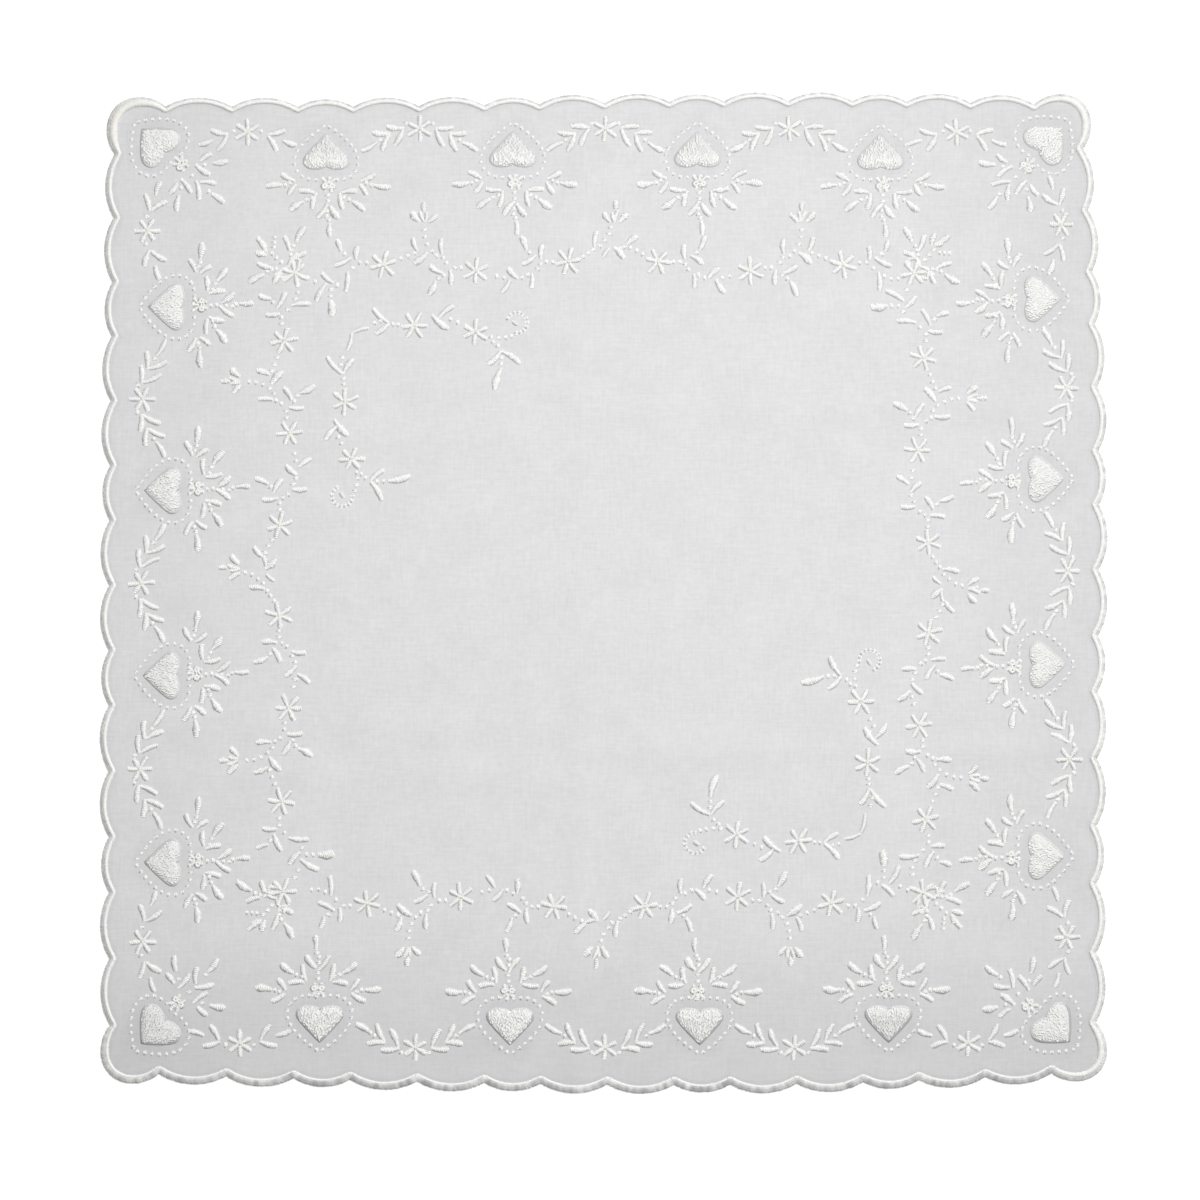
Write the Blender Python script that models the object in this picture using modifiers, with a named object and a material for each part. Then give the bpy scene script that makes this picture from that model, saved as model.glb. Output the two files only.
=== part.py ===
"""Embroidered handkerchief: one square of cotton lawn with a scalloped hem, opened out and lying flat.

The sheet is a grid that follows the pressed fold lines, thickened and then trimmed to the scalloped
outline. Metres, +Z up. The origin is the centre of the box at the surface that the cloth lies on.
"""
import math

import bmesh
import bpy

MM = 0.001

# Cloth
CLOTH_THICK = 1.0 * MM              # lawn with its embroidery, as one solid sheet
GRID_CELLS = 24                     # cells across the blank that the cloth is trimmed from
BLANK_SIDE = 320.0 * MM
TRIM_DEPTH = 20.0 * MM              # height of the trimming prism, well past both faces

# Scalloped hem
SCALLOP_WIDTHS = {"W": 19.7 * MM, "N": 16.6 * MM}
SCALLOP_RHYTHM = "WWNWWNWWNWWNWW"   # one side, from corner to corner
SCALLOP_RISE = 0.135                # height of an arc over its width
SCALLOP_STEPS = 8
CORNER_RISE = 10.4 * MM             # height of the corner lobe over the line between its notches
CORNER_POINT = 1.2                  # 1 is a half ellipse, and more draws the lobe out to the corner
CORNER_STEPS = 16

# Each side's notch line, in millimetres, as uneven as hand-guided cutting leaves it. Outwards: its
# distance from the centre at the ends, bow at the middle, slant from end to end and one slow wave.
# Along the side: stretch and shift of all its notches, and slide of the middle ones. Sides run
# clockwise from the top.
SIDES = (
    {"turn": 0, "half": 147.1, "bow": 0.7, "slant": 0.3, "wave": 0.7,
     "stretch": 1.0, "shift": -1.5, "slide": 1.4},
    {"turn": 1, "half": 145.9, "bow": 2.8, "slant": 0.9, "wave": -0.9,
     "stretch": 1.0, "shift": -2.1, "slide": -3.8},
    {"turn": 2, "half": 144.8, "bow": 3.2, "slant": 0.1, "wave": -0.4,
     "stretch": 1.012, "shift": -0.1, "slide": -0.6},
    {"turn": 3, "half": 148.3, "bow": 0.9, "slant": 0.3, "wave": 0.0,
     "stretch": 0.997, "shift": 0.9, "slide": 0.4},
)

# Pressed fold lines: once down the middle, then across in thirds, so the cross folds turn over at the
# middle line: ridges on the right, grooves between two low swells on the left.
MIDDLE_FOLD_X = -7.5 * MM
CROSS_FOLDS_Y = (53.9 * MM, -48.8 * MM)
FOLD_HALF_WIDTH = 7.0 * MM
RIDGE_HEIGHT = 0.6 * MM
SWELL_HEIGHT = 0.35 * MM
SWELL_OFFSET = 8.0 * MM

CLOTH_COLOR = (0.73, 0.745, 0.755, 1.0)
CLOTH_ROUGHNESS = 0.9


def side_point(side, along, outward):
    """A point on one side: along runs clockwise from the side's middle, outward from the centre."""
    x, y = along, outward
    for _ in range(side["turn"]):
        x, y = y, -x
    return x, y


def notch_positions(half_run):
    """Where the notches lie along a side, from corner to corner."""
    along = -half_run
    yield along
    for letter in SCALLOP_RHYTHM:
        along += SCALLOP_WIDTHS[letter]
        yield along


def side_notches(side):
    """The notches between the scallops of one side."""
    half_run = sum(SCALLOP_WIDTHS[letter] for letter in SCALLOP_RHYTHM) / 2
    notches = []
    for along in notch_positions(half_run):
        share = along / half_run
        middle = 1 - share ** 2
        outward = side["half"] + side["bow"] * middle + side["slant"] * share
        outward += side["wave"] * math.sin(math.pi * share)
        slid = along * side["stretch"] + (side["shift"] + side["slide"] * middle) * MM
        notches.append(side_point(side, slid, outward * MM))
    return notches


def lobe(start, end, rise, steps):
    """The corner's arc, bulging outwards (to the left of start to end), without its end."""
    mid_x, mid_y = (start[0] + end[0]) / 2, (start[1] + end[1]) / 2
    half_x, half_y = (end[0] - start[0]) / 2, (end[1] - start[1]) / 2
    half = math.hypot(half_x, half_y)
    for step in range(steps):
        angle = math.pi * (1 - step / steps)
        reach = math.cos(angle)
        out = math.sin(angle) ** CORNER_POINT * rise / half
        yield mid_x + half_x * reach - half_y * out, mid_y + half_y * reach + half_x * out


def scallop(start, end, steps):
    """A flat circular arc over one scallop's width, without its end."""
    width = math.dist(start, end)
    rise = width * SCALLOP_RISE
    radius = (width ** 2 / 4 + rise ** 2) / (2 * rise)
    half_angle = math.asin(width / 2 / radius)
    along_x, along_y = (end[0] - start[0]) / width, (end[1] - start[1]) / width
    for step in range(steps):
        angle = half_angle * (2 * step / steps - 1)
        reach = radius * math.sin(angle) + width / 2
        out = radius * (math.cos(angle) - math.cos(half_angle))
        yield (start[0] + along_x * reach - along_y * out,
               start[1] + along_y * reach + along_x * out)


def scalloped_outline():
    """The hem's outline, clockwise, with the centre of its box at the origin."""
    sides = [side_notches(side) for side in SIDES]
    outline = []
    for index, notches in enumerate(sides):
        for start, end in zip(notches, notches[1:]):
            outline += scallop(start, end, SCALLOP_STEPS)
        next_side = sides[(index + 1) % len(sides)]
        outline += lobe(notches[-1], next_side[0], CORNER_RISE, CORNER_STEPS)
    mid_x = (max(x for x, _ in outline) + min(x for x, _ in outline)) / 2
    mid_y = (max(y for _, y in outline) + min(y for _, y in outline)) / 2
    return [(x - mid_x, y - mid_y) for x, y in outline]


def swell(distance):
    """A smooth bump one unit high that is gone at one fold half width."""
    share = min(abs(distance) / FOLD_HALF_WIDTH, 1.0)
    return (1 + math.cos(math.pi * share)) / 2


def fold_lift(x, y):
    """How far the cloth stands off the surface at a point, along its pressed fold lines."""
    lift = RIDGE_HEIGHT * swell(x - MIDDLE_FOLD_X)
    for fold_y in CROSS_FOLDS_Y:
        across = y - fold_y
        if x > MIDDLE_FOLD_X:
            cross = RIDGE_HEIGHT * swell(across)
        else:
            cross = SWELL_HEIGHT * (swell(across - SWELL_OFFSET) + swell(across + SWELL_OFFSET))
        lift = max(lift, cross)
    return lift


def add_to(collection, obj):
    collection.objects.link(obj)
    return obj


def fabric_material(name, color, roughness):
    material = bpy.data.materials.new(name)
    material.use_nodes = True
    shader = material.node_tree.nodes["Principled BSDF"]
    shader.inputs["Base Color"].default_value = color
    shader.inputs["Roughness"].default_value = roughness
    shader.inputs["Metallic"].default_value = 0.0
    return material


def trimming_prism(collection):
    """The scalloped outline as a tall prism."""
    curve = bpy.data.curves.new("scallop_outline", "CURVE")
    curve.dimensions = "2D"
    curve.fill_mode = "BOTH"
    curve.extrude = TRIM_DEPTH / 2
    outline = scalloped_outline()
    spline = curve.splines.new("POLY")
    spline.points.add(len(outline) - 1)
    for point, (x, y) in zip(spline.points, outline):
        point.co = (x, y, 0, 1)
    spline.use_cyclic_u = True
    filled = bpy.data.objects.new("scallop_outline", curve)
    bpy.context.scene.collection.objects.link(filled)
    evaluated = filled.evaluated_get(bpy.context.evaluated_depsgraph_get())
    mesh = bpy.data.meshes.new_from_object(evaluated)
    bpy.data.objects.remove(filled)

    bm = bmesh.new()
    bm.from_mesh(mesh)
    bmesh.ops.remove_doubles(bm, verts=bm.verts, dist=0.01 * MM)
    bmesh.ops.recalc_face_normals(bm, faces=bm.faces)
    bm.to_mesh(mesh)
    bm.free()
    prism = add_to(collection, bpy.data.objects.new("scallop_cutter", mesh))
    prism.hide_render = True
    prism.display_type = "WIRE"
    return prism


def cut_line(bm, place, direction):
    """A straight row of edges across the blank, so that a fold has its crest and its foot."""
    geometry = bm.verts[:] + bm.edges[:] + bm.faces[:]
    bmesh.ops.bisect_plane(bm, geom=geometry, dist=0.01 * MM, plane_co=place, plane_no=direction)


def folded_blank():
    """The square blank, lifted along the pressed fold lines."""
    bm = bmesh.new()
    bmesh.ops.create_grid(bm, x_segments=GRID_CELLS, y_segments=GRID_CELLS, size=BLANK_SIDE / 2)
    for step in (-1, 0, 1):
        cut_line(bm, (MIDDLE_FOLD_X + step * FOLD_HALF_WIDTH, 0, 0), (1, 0, 0))
        for fold_y in CROSS_FOLDS_Y:
            cut_line(bm, (0, fold_y + step * SWELL_OFFSET, 0), (0, 1, 0))
    for vert in bm.verts:
        vert.co.z = fold_lift(vert.co.x, vert.co.y)
    mesh = bpy.data.meshes.new("cloth")
    bm.to_mesh(mesh)
    bm.free()
    return mesh


def build_cloth(parts, cutters):
    cloth = add_to(parts, bpy.data.objects.new("cloth", folded_blank()))
    cloth.data.materials.append(fabric_material("white_cotton_lawn", CLOTH_COLOR, CLOTH_ROUGHNESS))
    thickness = cloth.modifiers.new("thickness", "SOLIDIFY")
    thickness.thickness = CLOTH_THICK
    thickness.offset = 1.0
    trim = cloth.modifiers.new("scalloped_trim", "BOOLEAN")
    trim.operation = "INTERSECT"
    trim.solver = "EXACT"
    trim.object = trimming_prism(cutters)


def main():
    for obj in list(bpy.data.objects):
        bpy.data.objects.remove(obj)
    parts = bpy.data.collections.new("embroidered_handkerchief")
    cutters = bpy.data.collections.new("cutters")
    for collection in (parts, cutters):
        bpy.context.scene.collection.children.link(collection)
    build_cloth(parts, cutters)


main()
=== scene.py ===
"""Embroidered handkerchief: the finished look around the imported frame.

White cotton lawn lying open, with a satin-stitched scalloped hem and a whitework border of hearts,
sprays, star flowers and beaded garlands. Metres, +Z up, the origin at the centre of the cloth's box.
Motifs are charted in millimetres and worked as satin stitches by Geometry Nodes.
"""
import math
import random

import bmesh
import bpy
from mathutils import Matrix, Vector, kdtree, noise
from mathutils.geometry import delaunay_2d_cdt


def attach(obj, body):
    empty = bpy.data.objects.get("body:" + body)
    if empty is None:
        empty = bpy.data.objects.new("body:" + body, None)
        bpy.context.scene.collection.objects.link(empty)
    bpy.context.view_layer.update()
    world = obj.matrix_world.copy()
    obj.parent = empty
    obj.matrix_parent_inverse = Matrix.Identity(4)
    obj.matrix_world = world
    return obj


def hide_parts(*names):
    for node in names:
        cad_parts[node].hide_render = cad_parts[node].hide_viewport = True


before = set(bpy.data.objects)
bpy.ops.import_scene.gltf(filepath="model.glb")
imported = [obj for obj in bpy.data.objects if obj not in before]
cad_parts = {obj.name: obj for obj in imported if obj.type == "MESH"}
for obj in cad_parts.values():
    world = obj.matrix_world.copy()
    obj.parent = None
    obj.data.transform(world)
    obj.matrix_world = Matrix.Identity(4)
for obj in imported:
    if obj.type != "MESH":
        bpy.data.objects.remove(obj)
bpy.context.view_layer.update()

MM = 0.001
HERE_AND_MIRRORED = (1, -1)

# ---------------------------------------------------------------- the cut, as in the cloth's solid
SCALLOP_WIDTHS = {"W": 19.7 * MM, "N": 16.6 * MM}
SCALLOP_RHYTHM = "WWNWWNWWNWWNWW"   # one side, from corner to corner
SCALLOP_RISE = 0.135                # height of an arc over its width
SCALLOP_STEPS = 16
CORNER_RISE = 10.4 * MM
CORNER_POINT = 1.2
CORNER_STEPS = 48
HALF_RUN = sum(SCALLOP_WIDTHS[letter] for letter in SCALLOP_RHYTHM) / 2

# Each side, clockwise from the top. The cut, from half to slide, as in the solid: another program's
# least-squares fit to measured notches gave these values. The stitching: hearts is how far out the
# hearts' centres lie, and the inner garland has its own shift along the side and reach outwards.
SIDES = (
    {"turn": 0, "half": 147.1, "bow": 0.7, "slant": 0.3, "wave": 0.7,
     "stretch": 1.0, "shift": -1.5, "slide": 1.4,
     "hearts": 132.4, "garland_shift": 2.7, "garland_reach": 0.0},
    {"turn": 1, "half": 145.9, "bow": 2.8, "slant": 0.9, "wave": -0.9,
     "stretch": 1.0, "shift": -2.1, "slide": -3.8,
     "hearts": 132.2, "garland_shift": -0.4, "garland_reach": -1.7},
    {"turn": 2, "half": 144.8, "bow": 3.2, "slant": 0.1, "wave": -0.4,
     "stretch": 1.012, "shift": -0.1, "slide": -0.6,
     "hearts": 129.9, "garland_shift": 1.5, "garland_reach": -3.9},
    {"turn": 3, "half": 148.3, "bow": 0.9, "slant": 0.3, "wave": 0.0,
     "stretch": 0.997, "shift": 0.9, "slide": 0.4,
     "hearts": 132.0, "garland_shift": 5.6, "garland_reach": -1.4},
)

# Pressed fold lines, at the places of the solid's and gentler, because the real lawn is thin
MIDDLE_FOLD_X = -7.5 * MM
CROSS_FOLDS_Y = (53.9 * MM, -48.8 * MM)
FOLD_HALF_WIDTH = 7.0 * MM
RIDGE_HEIGHT = 0.2 * MM
SWELL_HEIGHT = 0.12 * MM
SWELL_OFFSET = 8.0 * MM

# ---------------------------------------------------------------- lawn
LAWN_THICK = 0.25 * MM
LAWN_TOP = 0.36 * MM                # its upper face, where it lies free of folds
LAWN_GRID = 2.0 * MM
LAWN_REACH = 156.0 * MM             # the grid spans this far each way
LAWN_INSET = 0.45 * MM              # the raw edge lies this far inside the hem's outer edge
HEM_RISE = 0.2 * MM                 # the hem's thread lifts the lawn beside it
HEM_RISE_START = 139.0 * MM
HEM_RISE_WIDTH = 8.0 * MM
HEM_RINGS = (1.5, 2.1, 2.8, 3.5, 4.2, 5.0)   # its mesh follows the hem this far inside, in mm
FILL_OUTLINE = 1                    # triangulate what lies inside the outline
SAME_PLACE = 1e-7                   # m
PUCKER_HEIGHT = 0.05 * MM           # the stitching puckers it
PUCKER_SPAN = 9.0 * MM
PUCKER_START = 70.0                 # within this many mm of the middle the puckers are low
PUCKER_WIDTH = 20.0
PUCKER_PLAIN = 0.3                  # and this much as high
BILLOW_HEIGHT = 0.06 * MM
BILLOW_SPAN = 55.0 * MM
BILLOW_LEVEL = 0.3                  # billows come from another level of the noise than puckers

# Its thread is about 0.2 mm from the next, too fine to show, so slubs and a mottle stand for it
SLUB_LONG = 7 * MM
SLUB_SHORT = 0.7 * MM
MOTTLE = 1.3 * MM
CLOUDS = 16 * MM
TONE_RANGE = (1.5, 2.5)             # these four noises, about a half each, added up
LAWN_TONES = ("DADADB", "E5E5E6")
# The grey of needle holes and of painted shade on the lawn
NEEDLE_HOLE_AND_SHADE_TONE = "A4A4A6"

# Painted shade on the lawn, mixed towards that grey: beside the hem, where needle holes add to it,
# round the padded hearts, and towards the border, side by side, most along the bottom and near left
HEM_HOLES_AND_SHADE_FROM = 0.2                  # mm inside the cord
HEM_HOLES_AND_SHADE_WIDTH = 1.2
HEM_HOLES_AND_SHADE_STRENGTH = 0.16
# Painted shade round each padded heart, in full within the inner reach and gone at the outer
HALO_CENTRE = (0, 0.8)              # mm from a heart's centre, on its own chart
HALO_INNER = 7.6 * MM
HALO_OUTER = 10.6 * MM
HALO_STRENGTH = 0.09
# Painted shade that darkens the lawn towards the border, as strong on each side as listed
BORDER_SHADE_START = 88.0                  # mm from the middle
BORDER_SHADE_WIDTH = 60.0
BORDER_SHADE_STRENGTHS = (0.0, 0.08, 0.205, 0.06)   # on each side, clockwise from the top
BORDER_SHADE_NEAR_LEFT = 0.1               # more of it in the near left corner

# ---------------------------------------------------------------- thread
THREAD_PITCH = 0.50 * MM            # from one satin stitch to the next
THREAD_SIZE = THREAD_PITCH * 1.35   # along the stroke, so that stitches overlap
THREAD_SLANT = 0.3                  # how far a stitch lies off square across the stroke, in radians
THREAD_LEAN = 0.08                  # and how much that varies
THREAD_UNEVENNESS = 0.26            # how much its stitches' lengths vary
THREAD_SUNK = 0.04 * MM             # its foot lies this far below the lawn's upper face
STROKE_SWAY = 0.17                  # how much a stroke's width wanders along it
PLUMPNESS = 0.20                    # how high a stroke stands, over its width
THREAD_TONES = ("F4F4F1", "FCFCFA")
CREAM_TONE = "F1EEE3"
# The grey of thin or dull thread, and of painted shade between filling stitches and on the hem's rim
GREY_AND_SHADE_TONE = "B4B3B4"

# Seeds: of what the charts draw by chance, of the hem's first line and of the first motifs, and what
# is added to a piece's own seed for its stitches' sizes and tints
CHART_SEED = 20
HEM_SEED = 1
MOTIF_SEED = 20
SIZE_SEED = 7.0
TINT_SEED = 13.0

# One satin stitch, a unit each way: how high it arches along its length, and its flat top
BAR_PROFILE = ((-0.5, 0.04), (-0.4, 0.70), (0.0, 1.0), (0.4, 0.70), (0.5, 0.04))
BAR_SHOULDER = 0.22
BAR_SHOULDER_RISE = 0.9

# The hem, in satin stitch: a raised cord, and outside it the flat thread that wraps the cut edge
HEM_PITCH = 0.40 * MM
HEM_FAN_STEP = math.radians(14)     # the hem's stitches fan round a notch this far apart
HEM_STITCH_SIZE = HEM_PITCH * 1.5
HEM_UNEVENNESS = {"hem_cord": 0.08, "hem_rim": 0.10}
HEM_BAR_PROFILE = ((-0.5, 0.78), (0.0, 1.0), (0.5, 0.78))   # how tall a stitch is across its thread
HEM_BAR_ENDS = 0.1                  # how much of that its length follows
CORD_CORNERS = 6
CORD_SQUARENESS = 0.7               # below 1, the cord's section has fuller sides than a round one
# The rim's section, outwards and up: it falls away from under the cord to the cut edge
RIM_SECTION = ((-0.5, -0.5), (0.5, -0.5), (0.5, -0.25), (0.25, 0.1), (-0.1, 0.36), (-0.5, 0.5))
CORD_HEIGHT = 0.62 * MM
CORD_LIFT = 0.08 * MM               # its middle lies this far above the lawn
RIM_UNDER_CORD = 0.35 * MM          # how far the rim reaches in under the cord
RIM_DROP = 0.45 * MM                # the rim's foot lies this far below the lawn's upper face
RIM_MOTTLE = 1.6 * MM               # the rim's grey and painted shade vary in patches about this long
# Along each side, in mm: the cord's width, how far the rim shows outside it, and the rim's height;
# and how grey the rim is, its own grey with painted shade added, most along the bottom
HEM_SIDES = (
    {"cord": 1.15, "rim": 0.65, "tall": 0.66, "shade": 0.45},
    {"cord": 1.25, "rim": 0.90, "tall": 0.66, "shade": 0.42},
    {"cord": 0.90, "rim": 1.40, "tall": 0.84, "shade": 0.62},
    {"cord": 1.20, "rim": 0.85, "tall": 0.60, "shade": 0.32},
)
LOBE_SWELLING = 0.7                 # below 1, the cord swells early along a lobe and stays wide
# Over the corner lobe after each side the cord swells, most at its peak along the lobe
HEM_LOBES = (
    {"cord": 2.2, "rim": 0.70, "tall": 0.62, "shade": 0.40, "cream": 0.1, "peak": 0.64},
    {"cord": 1.9, "rim": 0.90, "tall": 0.66, "shade": 0.40, "cream": 0.0, "peak": 0.34},
    {"cord": 1.1, "rim": 1.40, "tall": 0.76, "shade": 0.50, "cream": 0.0, "peak": 0.50},
    {"cord": 2.8, "rim": 0.75, "tall": 0.60, "shade": 0.40, "cream": 0.5, "peak": 0.42},
)

# Kinds of satin stroke: width, where along it the widest place lies, its ends' share of the width
STROKES = {
    "leaf": {"width": 1.52, "belly": 0.62, "base": 0.55, "tip": 0.75},
    "fat": {"width": 1.95, "belly": 0.60, "base": 0.45, "tip": 0.62},
    "thin": {"width": 1.05, "belly": 0.60, "base": 0.65, "tip": 0.75},
    "bud": {"width": 2.60, "belly": 0.50, "base": 0.45, "tip": 0.55},
    "arm": {"width": 1.25, "belly": 0.60, "base": 0.70, "tip": 0.85},
    "bead": {"width": 1.22, "belly": 0.50, "base": 0.92, "tip": 0.92},
    "dot": {"width": 0.95, "belly": 0.50, "base": 0.85, "tip": 0.85},
    "dash": {"width": 1.08, "belly": 0.50, "base": 0.75, "tip": 0.75},
    "petal": {"width": 1.00, "belly": 0.60, "base": 0.70, "tip": 0.80},
}
STROKE_STEP = 1.0 * MM              # the guide of a stroke has a point about this often
STROKE_TRIM = 0.18                  # its stitches are wide enough to reach this much further
BEAD_LENGTH = 0.46                  # mm
BEAD_SIZES = (0.8, 1.15)            # the shortest and the longest, over that length
DOT_LENGTHS = (0.30, 0.75)          # of the dots round a heart, in mm
DOT_SWAY = 0.30                     # how far a dot may turn off its line, in radians
MARK_MARGIN = 0.26 * MM             # needle holes and painted shadow show this far outside a stroke
MARK_THICK = 0.05                   # over half its width
MARK_LIFT = 0.05 * MM
MARK_STRENGTH = 0.06                # how much painted shadow the lawn takes there
LEAF_BEND = 0.06                    # how far a leaf's middle swings out, over its length
TIP_DRIFT = 0.15                    # how far a stroke's tip strays from its chart, in mm

# Star flowers, in mm
STAR_ARMS = 6
STAR_REACH = 3.9
STAR_HEART = 0.9                    # the arms start this far from the middle
STAR_KNOT = 0.5                     # half the length of the creamy stitch over it
STAR_SWAY = 6                       # how far an arm strays, in degrees
STAR_REACHES = (0.9, 1.08)          # how short and how long its arms come out
STAR_BEND = 0.05                    # how far an arm's middle swings out, over its length

# The dotted heart, in millimetres from its centre: u clockwise along the hem, v outwards. Two Bezier
# arcs make the right half, from the tip round the widest place and the lobe to the notch.
HEART_ARCS = (
    ((0.0, 9.4), (2.6, 7.6), (9.7, 3.4), (9.7, -2.0)),
    ((9.7, -2.0), (9.7, -6.6), (4.4, -8.6), (0.0, -6.6)),
)
HEART_ARC_STEPS = 12
HEART_DOT_SPACING = 2.18            # mm from one dot of the outline to the next

# The padded filling inside it: straight flanks, a sharp tip and a shallow notch
FILL_ARCS = (
    ((0.0, 6.2), (1.1, 4.9), (5.0, 1.3), (6.4, -0.9)),
    ((6.4, -0.9), (7.2, -2.9), (5.4, -3.9), (3.4, -3.8)),
    ((3.4, -3.8), (2.0, -3.75), (0.8, -3.5), (0.0, -2.8)),
)
CORNER_FILL_ARCS = (
    ((0.0, 5.9), (2.1, 4.1), (5.8, 0.9), (6.5, -1.0)),
    ((6.5, -1.0), (7.1, -2.8), (5.7, -4.6), (3.8, -4.5)),
    ((3.8, -4.5), (2.1, -4.4), (0.9, -3.9), (0.0, -3.0)),
)
FILL_ARC_STEPS = 8
FILL_HEIGHT = 0.27 * MM
FILL_RINGS = (1.0, 0.97, 0.88, 0.7, 0.4)   # shares of the outline, from edge to crown
FILL_PLUMP = 9.0                    # how squarely the padding rises from its edge
THIN_SHADE = 0.28                   # how much of the ground shows through a thinly worked tip
THIN_FROM = -1.8                    # how far out a thin tip begins and how soon it is thin, in mm
THIN_WIDTH = 3.0
THIN_SINKS = 0.45                   # how much of the padding a thin tip goes without
FILL_EDGE = 0.7 * MM                # width of the painted shadow line round the padding
FLANK_FROM = -3.6                   # where along the padding, in mm, that line begins
FLANK_WIDTH = 2.4
FILL_LAYERS = ("grain", "shade", "rough", "gap")
GAP_SHADE = 0.45                    # painted shade on the padding between rough stitches
GAP_WIDTH = 0.1                     # that painted shade is in full from this share inside the edge
# The filling's stitches
FILL_SPACING = 0.53 * MM            # the least from one to the next
FILL_DENSITY = 1e7                  # to the square metre: more than fit, so that the spacing decides
FILL_UPRIGHT = 0.05                 # they lie on faces that look up at least this much
FILL_LENGTH = 0.95 * MM
FILL_WIDTH = 0.72 * MM
FILL_STAND = 0.09 * MM              # the height of a fully rough one
FILL_SIZES = (0.6, 1.35)            # the smallest and the largest, over those sizes
FILL_LEAN = 0.7                     # how far one may turn off the grain, in radians
FILL_SEED = 5
# For each heart, clockwise from the top side's left and then the corners from the top left: how
# thinly its tip is worked, how rough its stitches stand, how dull its thread is, and how dark the
# painted shadow along its flanks
FILL_KEYS = ("thin", "rough", "dull", "edge")
FILL_LOOKS = tuple(dict(zip(FILL_KEYS, values)) for values in (
    (0.60, 0.4, 0.00, 0.12), (0.60, 0.4, 0.00, 0.15), (0.70, 0.3, 0.00, 0.12), (0.70, 0.3, 0.00, 0.12),
    (0.00, 0.1, 0.05, 0.00), (0.05, 0.1, 0.07, 0.00), (0.10, 0.1, 0.06, 0.00), (0.10, 0.1, 0.00, 0.00),
    (0.90, 0.4, 0.00, 0.60), (0.45, 0.5, 0.00, 0.60), (0.15, 0.6, 0.00, 0.65), (0.10, 0.6, 0.00, 0.60),
    (0.40, 0.2, 0.03, 0.30), (0.35, 0.2, 0.04, 0.25), (0.30, 0.3, 0.03, 0.20), (0.15, 0.2, 0.00, 0.10),
    (0.15, 0.3, 0.00, 0.35), (0.00, 0.1, 0.00, 0.05), (0.05, 0.2, 0.02, 0.55), (0.25, 0.3, 0.12, 0.60),
))
# Where the hearts' centres lie, in mm
HEART_PLACES = (-84.0, -28.0, 28.0, 84.0)   # along every side, clockwise
HEART_SHIFT = 0.5                   # further clockwise
HEART_BOW = 2.0                     # nearer the corners they lie up to this much further in
CORNER_HEARTS = ((-135.7, 135.1), (134.3, 135.8), (134.6, -131.0), (-133.8, -131.6))

# ---------------------------------------------------------------- charts, in millimetres
# ("bead", u, v), ("star", u, v, turn in degrees), or a stroke's kind with its base and its tip. Each
# chart holds one repeat. Most of the places in them were measured stroke by stroke, not made up.
SPRAY_HALF = (
    ("leaf", 3.6, -11.6, 4.6, -16.4),
    ("leaf", 4.2, -11.3, 8.8, -10.9),
    ("bead", 4.8, -12.9),
    ("bead", 6.5, -13.5),
    ("fat", 7.4, -14.0, 11.3, -16.9),
    ("leaf", 10.0, -7.8, 14.1, -5.6),
    ("leaf", 9.7, -8.9, 12.0, -12.2),
    ("bead", 11.6, -8.4),
    ("bead", 13.0, -9.0),
    ("fat", 13.8, -9.0, 18.9, -9.5),
)
SPRAY_MIDDLE = (
    ("bead", 0.5, -12.2),
    ("bead", 0.6, -14.0),
    ("leaf", 0.4, -14.8, -2.7, -19.1),
    ("fat", 1.2, -15.5, 4.1, -19.2),
    ("bead", 0.3, -17.0),
    ("bead", 0.2, -18.7),
    ("bead", 0.9, -19.9),
    ("leaf", 1.1, -20.8, 1.4, -25.0),
)
SPRAY_AXIS = 0.5                    # a spray's leaves lie this far clockwise from its middle
CORNER_SPRAY_AXIS = 0.8             # a corner's spray lies this far clockwise from its heart
CORNER_SPRAY_HALF = (
    ("leaf", 4.9, -13.1, 8.8, -13.6),
    ("leaf", 3.1, -12.9, 3.9, -18.2),
    ("bead", 5.0, -14.9),
    ("fat", 7.1, -16.1, 10.9, -19.0),
)
CORNER_SPRAY_MIDDLE = (
    ("bead", 0.0, -14.5),
    ("leaf", -0.2, -16.6, -3.6, -21.3),
    ("leaf", 0.4, -17.6, 3.5, -21.4),
    ("bead", 0.2, -21.6),
    ("fat", 0.3, -22.7, 1.0, -27.3),
)
BOW_PLACES = ((0.6, -8.9), (1.0, -9.6))   # on a side's heart, on a corner's heart
BOW = (
    ("petal", 0.0, 0.3, 0.1, 2.2),
    ("petal", -0.5, 0.4, -1.9, 1.9),
    ("petal", 0.5, 0.4, 1.9, 1.8),
    ("petal", -0.8, -0.9, -1.0, -2.2),
    ("petal", 0.8, -0.9, 1.1, -2.2),
    ("dash", 0.0, -0.3, 0.2, -1.3),
)
BOW_LOOP = (1.15, -0.5, 0.62, 0.58)  # its middle, and its reach along and across
BOW_LOOP_STEPS = 9
BOW_CREAM = 0.15
BOW_LOOP_WIDTH = STROKES["petal"]["width"] * MM
BOW_LOOP_SLIM = 0.8                 # a loop's thread is this much slimmer than a petal's

# The outer garland, from its star flower towards the heart on one side
OUTER_LINE = 139.8
LONG_CHAIN = (
    ("bead", 4.1, 1.5),
    ("leaf", 4.8, 0.2, 10.2, 0.6),
    ("leaf", 5.0, -0.2, 7.5, -5.4),
    ("leaf", 9.0, -1.5, 14.3, -1.1),
    ("leaf", 9.2, -1.9, 11.4, -7.0),
    ("bead", 12.1, -3.5),
    ("leaf", 13.0, -4.2, 17.8, -6.9),
)
SHORT_CHAIN = (
    ("bead", 4.2, 0.4),
    ("leaf", 6.0, -0.6, 11.1, 0.8),
    ("leaf", 6.2, -1.1, 9.0, -5.6),
    ("leaf", 10.7, -2.4, 14.9, -3.8),
)
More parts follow.
